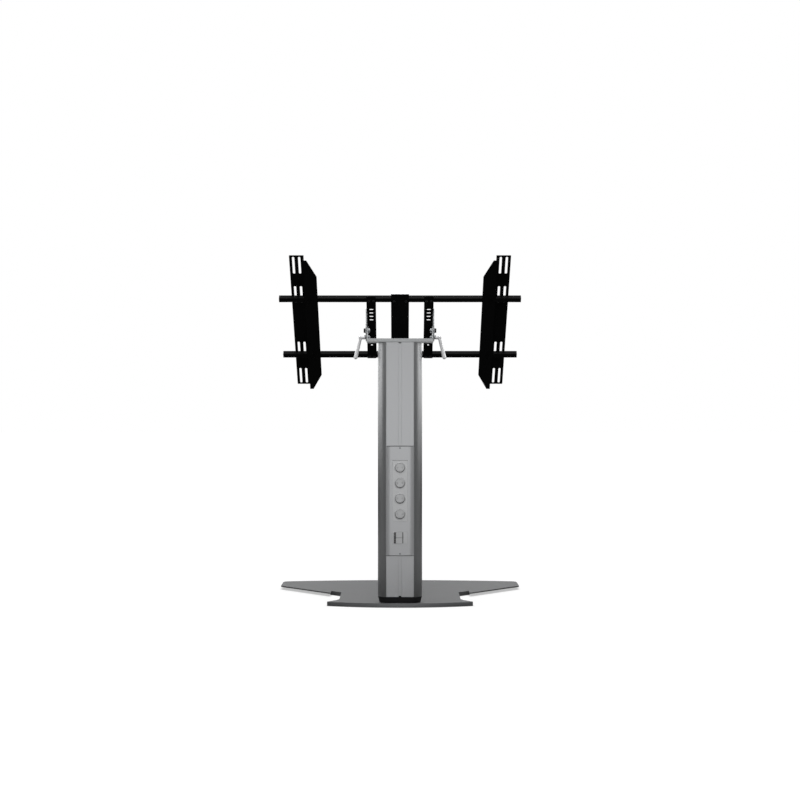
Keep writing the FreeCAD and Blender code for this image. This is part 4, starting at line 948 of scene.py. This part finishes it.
PIVOT_BOLT = HexFastener(17.0, 6.5, 5.0, 1.5)
PIVOT_NUT = HexFastener(17.0, 8.0, 5.0, 1.5)
LEVER_NUT = HexFastener(13.0, 6.5, 4.0, 1.25)
FRAME_SCREW = SocketScrew(5.25, 3.3, 3.0, 4.0)
CLAMP_SCREW = SocketScrew(6.0, 5.0, 3.0, 4.0, knurled=True)
YOKE_SCREW = SocketScrew(7.0, 4.0, 4.0, 5.0)
PANEL_SCREW = SocketScrew(3.6, 1.6, 2.0, 2.5, sunk=True)


def towards_rear(middle: Vector, seat: float) -> Matrix:
    """Return the place of a fastener seated at a depth, its head pointing to the rear."""
    spot = Matrix.Translation((middle.x, seat, middle.z))
    return spot @ Matrix.Rotation(math.radians(-90), 4, "X")


def sideways(middle: Vector, seat: float) -> Matrix:
    """Return the place of a fastener that points away from the stand's middle plane."""
    turn = math.copysign(math.radians(90), seat)
    return Matrix.Translation((seat, middle.y, middle.z)) @ Matrix.Rotation(turn, 4, "Y")


@dataclass
class TiltFrame(SubAssembly):
    """Black tilting frame: rails, uprights, cheeks and spine; sizes in millimetres.

    Attributes:
        bead_radius: Radius of the weld beads on the cheeks.
        bead_pitch: Distance between a bead's ripples.
        bead_margin: Distance of a bead's ends from the cheek's ends.
        bead_valley: Share of the radius between two ripples.
        bead_ends: Shares of the radius on the first rings from a bead's ends.
    """

    bead_radius: float = 2.2
    bead_pitch: float = 2.4
    bead_margin: float = 8.0
    bead_valley: float = 0.86
    bead_ends: tuple[float, ...] = (0.5, 0.85)

    def build(self) -> None:
        """Dress the frame and draw its screws and welds."""
        for name in ("rail_upper", "rail_lower", "upright_left", "upright_right", "spine_plate"):
            self.dress(name, POWDER_COAT, Edges(0.5))
        for name in ("tilt_cheek_left", "tilt_cheek_right"):
            self.dress(name, YOKE_LACQUER, Edges(0.5))
        self.dress("frame_screws", POWDER_COAT)
        self.dress("rail_end_caps", BLACK_PP, Edges(0.5))
        self.dress("spine_cap", ANODISED, Edges(0.3))
        self._screws()
        self._welds()

    def _screws(self) -> None:
        """Draw the socket screws of the uprights and the spine."""
        heads = Piece("frame_socket_screws")
        for low, high in solids_of("frame_screws", head_matrix()):
            seat = high.y - FRAME_SCREW.head_height
            place = towards_rear(centre(low, high), seat)
            heads.turn(FRAME_SCREW.rings(seat - low.y), head_matrix() @ place)
        heads.finish(BLACK_OXIDE, "head", "black_powder", ["frame_screws"])

    def _welds(self) -> None:
        """Draw the rippled weld bead between each upright and its cheek."""
        for side in SIDES:
            bead = Piece(f"cheek_weld_{side}")
            low, high = solids_of(f"tilt_cheek_{side}", head_matrix())[0]
            corner = low.x if side == "left" else high.x
            face = solids_of(f"upright_{side}", head_matrix())[0][1].y
            start = low.z + self.bead_margin
            count = int((high.z - self.bead_margin - start) / self.bead_pitch)
            rings = []
            for i in range(2 * count + 1):
                swell = 1.0 if i % 2 else self.bead_valley
                edge = min(i, 2 * count - i)
                share = self.bead_ends[edge] if edge < len(self.bead_ends) else 1.0
                rings.append(Ring(i * self.bead_pitch / 2, self.bead_radius * swell * share))
            place = head_matrix() @ Matrix.Translation((corner, face, start))
            bead.turn(rings, place, points=BEAD_POINTS)
            bead.finish(YOKE_LACQUER, "head", "silver_paint")


@dataclass
class SlidingArm(SubAssembly):
    """Slotted arm that slides along the rails, with its clamping screws.

    Attributes:
        side: Left or right.
    """

    side: str

    def build(self) -> None:
        """Dress the arm and draw its knurled screws."""
        self.dress(f"arm_{self.side}", POWDER_COAT, Edges(0.6))
        node = f"arm_clamp_screws_{self.side}"
        self.dress(node, POWDER_COAT)
        screws = Piece(f"arm_knurled_screws_{self.side}")
        for low, high in solids_of(node, head_matrix()):
            seat = high.y - CLAMP_SCREW.head_height
            place = towards_rear(centre(low, high), seat)
            rings = CLAMP_SCREW.rings(seat - low.y)
            screws.turn(rings, head_matrix() @ place, points=CAST_POINTS)
        screws.finish(POWDER_COAT, f"arm_{self.side}", "black_powder", [node])


@dataclass
class ClampLever(SubAssembly):
    """Clamping lever that locks the tilt; sizes in millimetres.

    Attributes:
        side: Left or right.
        hub_length: Length of the hub.
        lean: Lean of the bar in degrees.
        reach: Drop of the bar's end below the hub's axis.
        root_inset: Distance of the bar's root from the hub's outer end.
        tip_radius: Radius of the bar's round end.
        grain: Size of the casting's finest rounding.
        smoothing: Share by which each round of smoothing moves the casting's skin.
        rounds: Number of these rounds.
    """

    side: str
    hub_length: float = 25.5
    lean: float = 13.5
    reach: float = 86.0
    root_inset: float = 7.6
    tip_radius: float = 7.6
    grain: float = 0.55
    smoothing: float = 0.5
    rounds: int = 8

    def build(self) -> None:
        """Dress the lever's metal core and draw the cast handle."""
        node = f"lever_handle_{self.side}"
        self.dress(node, CAST_LEVER)
        for part in ("stud", "screw", "spring"):
            self.dress(f"lever_{part}_{self.side}", ZINC)
        handle = Piece(f"cast_handle_{self.side}")
        height = joint_place(f"lever_turn_{self.side}").z / MM
        low, high = box_mm(node)
        sign = 1 if self.side == "left" else -1
        start = low.x if sign > 0 else high.x
        outwards = Matrix.Rotation(math.radians(90 * sign), 4, "Y")
        place = Matrix.Translation((start, 0.0, height)) @ outwards
        handle.turn(self._hub(), TO_METRES @ place, points=CAST_POINTS, loop=True)
        root = start + sign * (self.hub_length - self.root_inset)
        downwards = Matrix.Rotation(math.radians(180 - self.lean * sign), 4, "Y")
        place = Matrix.Translation((root, 0.0, height)) @ downwards
        handle.turn(self._bar(), TO_METRES @ place, points=BAR_POINTS)
        cast = handle.finish(CAST_LEVER, f"handle_{self.side}", "lever_chrome", [node])
        skin = cast.modifiers.new("one_casting", "REMESH")
        skin.mode = "VOXEL"
        skin.voxel_size = self.grain * MM
        skin.use_smooth_shade = True
        flow = cast.modifiers.new("cast_rounding", "SMOOTH")
        flow.factor = self.smoothing
        flow.iterations = self.rounds

    def _hub(self) -> list[Ring]:
        """Return the rings of the hub's hollow section.

        Returns:
            Rings from the cheek outwards and back inside.
        """
        end = self.hub_length
        # Each pair is a distance along the hub and a radius.
        outside = [(0.0, 6.0), (0.0, 7.8), (0.7, 8.4), (end * 0.45, 8.3), (end * 0.75, 8.0)]
        mouth = [(end - 1.2, 7.6), (end - 0.2, 6.9), (end - 0.2, 6.1), (end - 0.8, 5.5)]
        inside = [(9.6, 5.5), (9.6, 2.4), (8.1, 2.4), (8.1, 4.8), (3.6, 4.8), (3.6, 6.0)]
        return [Ring(height, radius) for height, radius in outside + mouth + inside]

    def _bar(self) -> list[Ring]:
        """Return the rings of the leaning bar.

        Returns:
            Rings from the hub's wall to the round end.
        """
        end = self.reach / math.cos(math.radians(self.lean))
        tip = self.tip_radius
        # Each ring has a distance along the bar and a radius.
        rings = [Ring(6.1, 7.0), Ring(10.0, 6.8), Ring(end * 0.35, 6.7), Ring(end * 0.65, 7.1)]
        rings.append(Ring(end - tip, tip))
        for turn in (20, 40, 60, 75, 86):
            angle = math.radians(turn)
            rings.append(Ring(end - tip + tip * math.sin(angle), tip * math.cos(angle)))
        return rings


@dataclass(frozen=True)
class Lamp:
    """Square softbox.

    Attributes:
        name: Lamp's name.
        place: Where it stands.
        target: Point that it faces.
        size: Side of the square in metres.
        watts: Its power.
        mirrored: Whether it shows in reflections.
    """

    name: str
    place: tuple[float, float, float]
    target: tuple[float, float, float]
    size: float
    watts: float
    mirrored: bool = False


LAMPS = (
    Lamp("front_softbox", (0.0, 4.4, 3.2), (0.0, 0.0, 0.9), 2.2, 90.0),
    Lamp("top_softbox", (0.0, 0.0, 3.6), (0.0, 0.0, 0.0), 2.6, 75.0, mirrored=True),
    Lamp("base_lip_lamp", (0.0, 0.32, 0.03), (0.0, 0.06, 0.012), 0.05, 0.4),
)


@dataclass(frozen=True)
class Flag:
    """Upright graded panel that shows only in the stand's reflections; sizes in metres.

    Attributes:
        name: Panel's name.
        start: One end in plan.
        end: Other end in plan.
        low: Height of the lower edge.
        high: Height of the upper edge.
        stretch: Heights between which the brightness changes.
        levels: Brightness at both ends of the stretch.
    """

    name: str
    start: tuple[float, float]
    end: tuple[float, float]
    low: float
    high: float
    stretch: tuple[float, float]
    levels: tuple[float, float]

    def corners(self, sign: int = 1) -> list[tuple[float, float, float]]:
        """Return the panel's corners.

        Args:
            sign: One, or minus one to mirror the panel to the other side.

        Returns:
            Corners in order round the panel.
        """
        (x, y), (far_x, far_y) = self.start, self.end
        foot = [(sign * x, y, self.low), (sign * far_x, far_y, self.low)]
        return foot + [(sign * far_x, far_y, self.high), (sign * x, y, self.high)]


# Flags on the left, which are mirrored to the right.
SIDE_FLAGS = (
    Flag("rear_flag", (0.9, 3.4), (2.9, 0.6), 0.0, 2.2, (0.3, 0.9), (0.0, 0.45)),
    Flag("low_flag", (2.9, 0.6), (0.6, -4.2), 0.0, 0.57, (0.3, 0.57), (0.0, 0.42)),
    Flag("high_flag", (2.9, 0.6), (0.6, -4.2), 0.57, 2.2, (0.57, 1.1), (0.42, 2.5)),
)
TOP_FLAG = Flag("top_flag", (-1.6, 3.0), (1.6, 3.0), 1.5, 3.4, (1.5, 1.7), (0.4, 0.1))


@dataclass
class Studio:
    """Pale floor, soft light and the camera; sizes in metres.

    Attributes:
        lens_mm: Lens of the camera.
        sensor_mm: Width of its sensor.
        camera: Camera's place.
        floor_half: Half the floor's width.
        floor_stretch: Distances between which the floor's glow changes.
        floor_levels: Glow at both ends of that stretch.
        contact_reach: Height up to which an object paints contact shade into the floor's glow below
            it.
        flag_half: Half the width of the flag on the floor.
        flag_height: Height of that flag.
        flag_stretch: Distances between which its brightness changes.
        flag_levels: Brightness at both ends of that stretch.
        soft_level: Light from all sides.
    """

    lens_mm: float = 65.75
    sensor_mm: float = 36.0
    camera: tuple[float, float, float] = (0.0, 5.708, 0.8045)
    floor_half: float = 30.0
    floor_stretch: tuple[float, float] = (0.6, 4.0)
    floor_levels: tuple[float, float] = (0.84, 1.0)
    contact_reach: float = 0.015
    flag_half: float = 4.6
    flag_height: float = 0.002
    flag_stretch: tuple[float, float] = (0.3, 3.2)
    flag_levels: tuple[float, float] = (0.06, 1.0)
    soft_level: float = 0.2

    def build(self) -> None:
        """Make the camera, the floor, the world, the lamps and the flags."""
        self._camera()
        self._floor()
        self._world()
        for lamp in LAMPS:
            self._lamp(lamp)
        upwards, level = (0.0, 0.0, 1.0), (1.0, 1.0, 0.0)
        for side, sign in zip(SIDES, (1, -1)):
            for flag in SIDE_FLAGS:
                name = f"{side}_{flag.name}"
                self._flag(name, flag.corners(sign), upwards, flag.stretch, flag.levels)
        top = TOP_FLAG
        self._flag(top.name, top.corners(), upwards, top.stretch, top.levels)
        corners = self._square(self.flag_half, self.flag_height)
        self._flag("floor_flag", corners, level, self.flag_stretch, self.flag_levels)

    @staticmethod
    def _square(half: float, height: float) -> list[tuple[float, float, float]]:
        """Return the corners of a level square about the stand's axis."""
        return [(x * half, y * half, height) for x, y in ((-1, -1), (1, -1), (1, 1), (-1, 1))]

    def _flag(
        self,
        name: str,
        corners: Sequence[Sequence[float]],
        along: Sequence[float],
        stretch: tuple[float, float],
        levels: tuple[float, float],
    ) -> None:
        """Add a graded panel that shows only in the stand's reflections.

        Args:
            name: Panel's name.
            corners: Corners of the panel.
            along: Share of each axis in the distance that the grading follows.
            stretch: Distances between which the brightness changes.
            levels: Brightness at both ends of the stretch.
        """
        mesh = bpy.data.meshes.new(name)
        mesh.from_pydata(corners, [], [(0, 1, 2, 3)])
        material = bpy.data.materials.new(name)
        material.use_nodes = True
        tree = material.node_tree
        tree.nodes.clear()
        place = add_node(tree, "ShaderNodeTexCoord").outputs["Object"]
        followed = add_node(
            tree, "ShaderNodeVectorMath", {0: place, 1: along}, operation="MULTIPLY"
        ).outputs["Vector"]
        level = self._graded(tree, followed, stretch, levels)
        glow = add_node(tree, "ShaderNodeEmission", {"Strength": level}).outputs["Emission"]
        add_node(tree, "ShaderNodeOutputMaterial", {"Surface": glow})
        mesh.materials.append(material)
        panel = bpy.data.objects.new(name, mesh)
        bpy.context.scene.collection.objects.link(panel)
        for ray in ("camera", "diffuse", "shadow", "transmission", "volume_scatter"):
            setattr(panel, f"visible_{ray}", False)

    @staticmethod
    def _graded(
        tree: bpy.types.NodeTree,
        place: bpy.types.NodeSocket,
        stretch: tuple[float, float],
        levels: tuple[float, float],
    ) -> bpy.types.NodeSocket:
        """Return a level that changes with a vector's length.

        Args:
            tree: Node tree that takes the nodes.
            place: Vector whose length counts.
            stretch: Lengths between which the level changes.
            levels: Levels at both ends of the stretch.

        Returns:
            The level's socket.
        """
        away = add_node(tree, "ShaderNodeVectorMath", {0: place}, operation="LENGTH")
        return add_node(
            tree, "ShaderNodeMapRange",
            {
                "Value": away.outputs["Value"],
                "From Min": stretch[0], "From Max": stretch[1],
                "To Min": levels[0], "To Max": levels[1],
            },
        ).outputs["Result"]

    def _camera(self) -> None:
        """Level camera behind the stand."""
        data = bpy.data.cameras.new("camera")
        data.lens = self.lens_mm
        data.sensor_width = self.sensor_mm
        camera = bpy.data.objects.new("camera", data)
        camera.location = self.camera
        camera.rotation_euler = (math.radians(90), 0.0, math.radians(180))
        bpy.context.scene.collection.objects.link(camera)
        bpy.context.scene.camera = camera

    @staticmethod
    def _lamp(lamp: Lamp) -> None:
        """Add a softbox that the camera doesn't see.

        Args:
            lamp: Softbox to add.
        """
        data = bpy.data.lights.new(lamp.name, "AREA")
        data.energy = lamp.watts
        data.size = lamp.size
        box = bpy.data.objects.new(lamp.name, data)
        box.location = lamp.place
        box.visible_glossy = lamp.mirrored
        box.visible_camera = False
        facing = Vector(lamp.target) - Vector(lamp.place)
        box.rotation_euler = facing.to_track_quat("-Z", "Y").to_euler()
        bpy.context.scene.collection.objects.link(box)

    def _floor(self) -> None:
        """White floor that keeps a soft shadow, with contact shade painted into its glow where the
        base touches it.
        """
        mesh = bpy.data.meshes.new("floor")
        mesh.from_pydata(self._square(self.floor_half, 0.0), [], [(0, 1, 2, 3)])
        floor = bpy.data.objects.new("floor", mesh)
        bpy.context.scene.collection.objects.link(floor)
        material = bpy.data.materials.new("white_floor")
        material.use_nodes = True
        tree = material.node_tree
        tree.nodes.clear()
        seen = self._seen(tree)
        place = add_node(tree, "ShaderNodeTexCoord").outputs["Object"]
        # The glow is multiplied by ambient occlusion, which paints contact shade under and beside
        # the base.
        contact = add_node(tree, "ShaderNodeAmbientOcclusion", {"Distance": self.contact_reach})
        level = self._graded(tree, place, self.floor_stretch, self.floor_levels)
        level = add_node(
            tree, "ShaderNodeMath", {0: level, 1: contact.outputs["AO"]}, operation="MULTIPLY"
        ).outputs["Value"]
        matt = add_node(tree, "ShaderNodeBsdfDiffuse", {"Color": linear("#808080")}).outputs["BSDF"]
        glow = add_node(
            tree, "ShaderNodeEmission", {"Color": linear("#FFFFFF"), "Strength": level}
        ).outputs["Emission"]
        both = add_node(tree, "ShaderNodeAddShader", {0: matt, 1: glow}).outputs["Shader"]
        mixed = add_node(tree, "ShaderNodeMixShader", {0: seen, 1: matt, 2: both}).outputs["Shader"]
        add_node(tree, "ShaderNodeOutputMaterial", {"Surface": mixed})
        mesh.materials.append(material)

    @staticmethod
    def _seen(tree: bpy.types.NodeTree) -> bpy.types.NodeSocket:
        """Return a socket that is one for rays from the camera, a gloss or a glass.

        Args:
            tree: Node tree that takes the nodes.

        Returns:
            The socket.
        """
        path = add_node(tree, "ShaderNodeLightPath")
        seen = path.outputs["Is Camera Ray"]
        for name in ("Is Glossy Ray", "Is Transmission Ray"):
            seen = add_node(
                tree, "ShaderNodeMath", {0: seen, 1: path.outputs[name]}, operation="MAXIMUM"
            ).outputs["Value"]
        return seen

    def _world(self) -> None:
        """White surroundings, with soft light from all sides."""
        world = bpy.data.worlds.new("studio")
        world.use_nodes = True
        bpy.context.scene.world = world
        tree = world.node_tree
        tree.nodes.clear()
        seen = self._seen(tree)
        shades = []
        for strength in (self.soft_level, 1.0):
            shade = {"Color": linear("#FFFFFF"), "Strength": strength}
            shades.append(add_node(tree, "ShaderNodeBackground", shade).outputs["Background"])
        mixed = add_node(
            tree, "ShaderNodeMixShader", {0: seen, 1: shades[0], 2: shades[1]}
        ).outputs["Shader"]
        add_node(tree, "ShaderNodeOutputWorld", {"Surface": mixed})
        bpy.context.scene.view_settings.view_transform = "Standard"


def main() -> None:
    """Build and dress the stand, then set up the studio."""
    logging.basicConfig(level=logging.INFO)
    assemblies = [Base(), Column(), PowerPanel(), Yoke(), TiltFrame()]
    for side in SIDES:
        assemblies += [SlidingArm(side), ClampLever(side)]
    for assembly in assemblies:
        assembly.build()
    Studio().build()


if __name__ == "__main__":
    main()
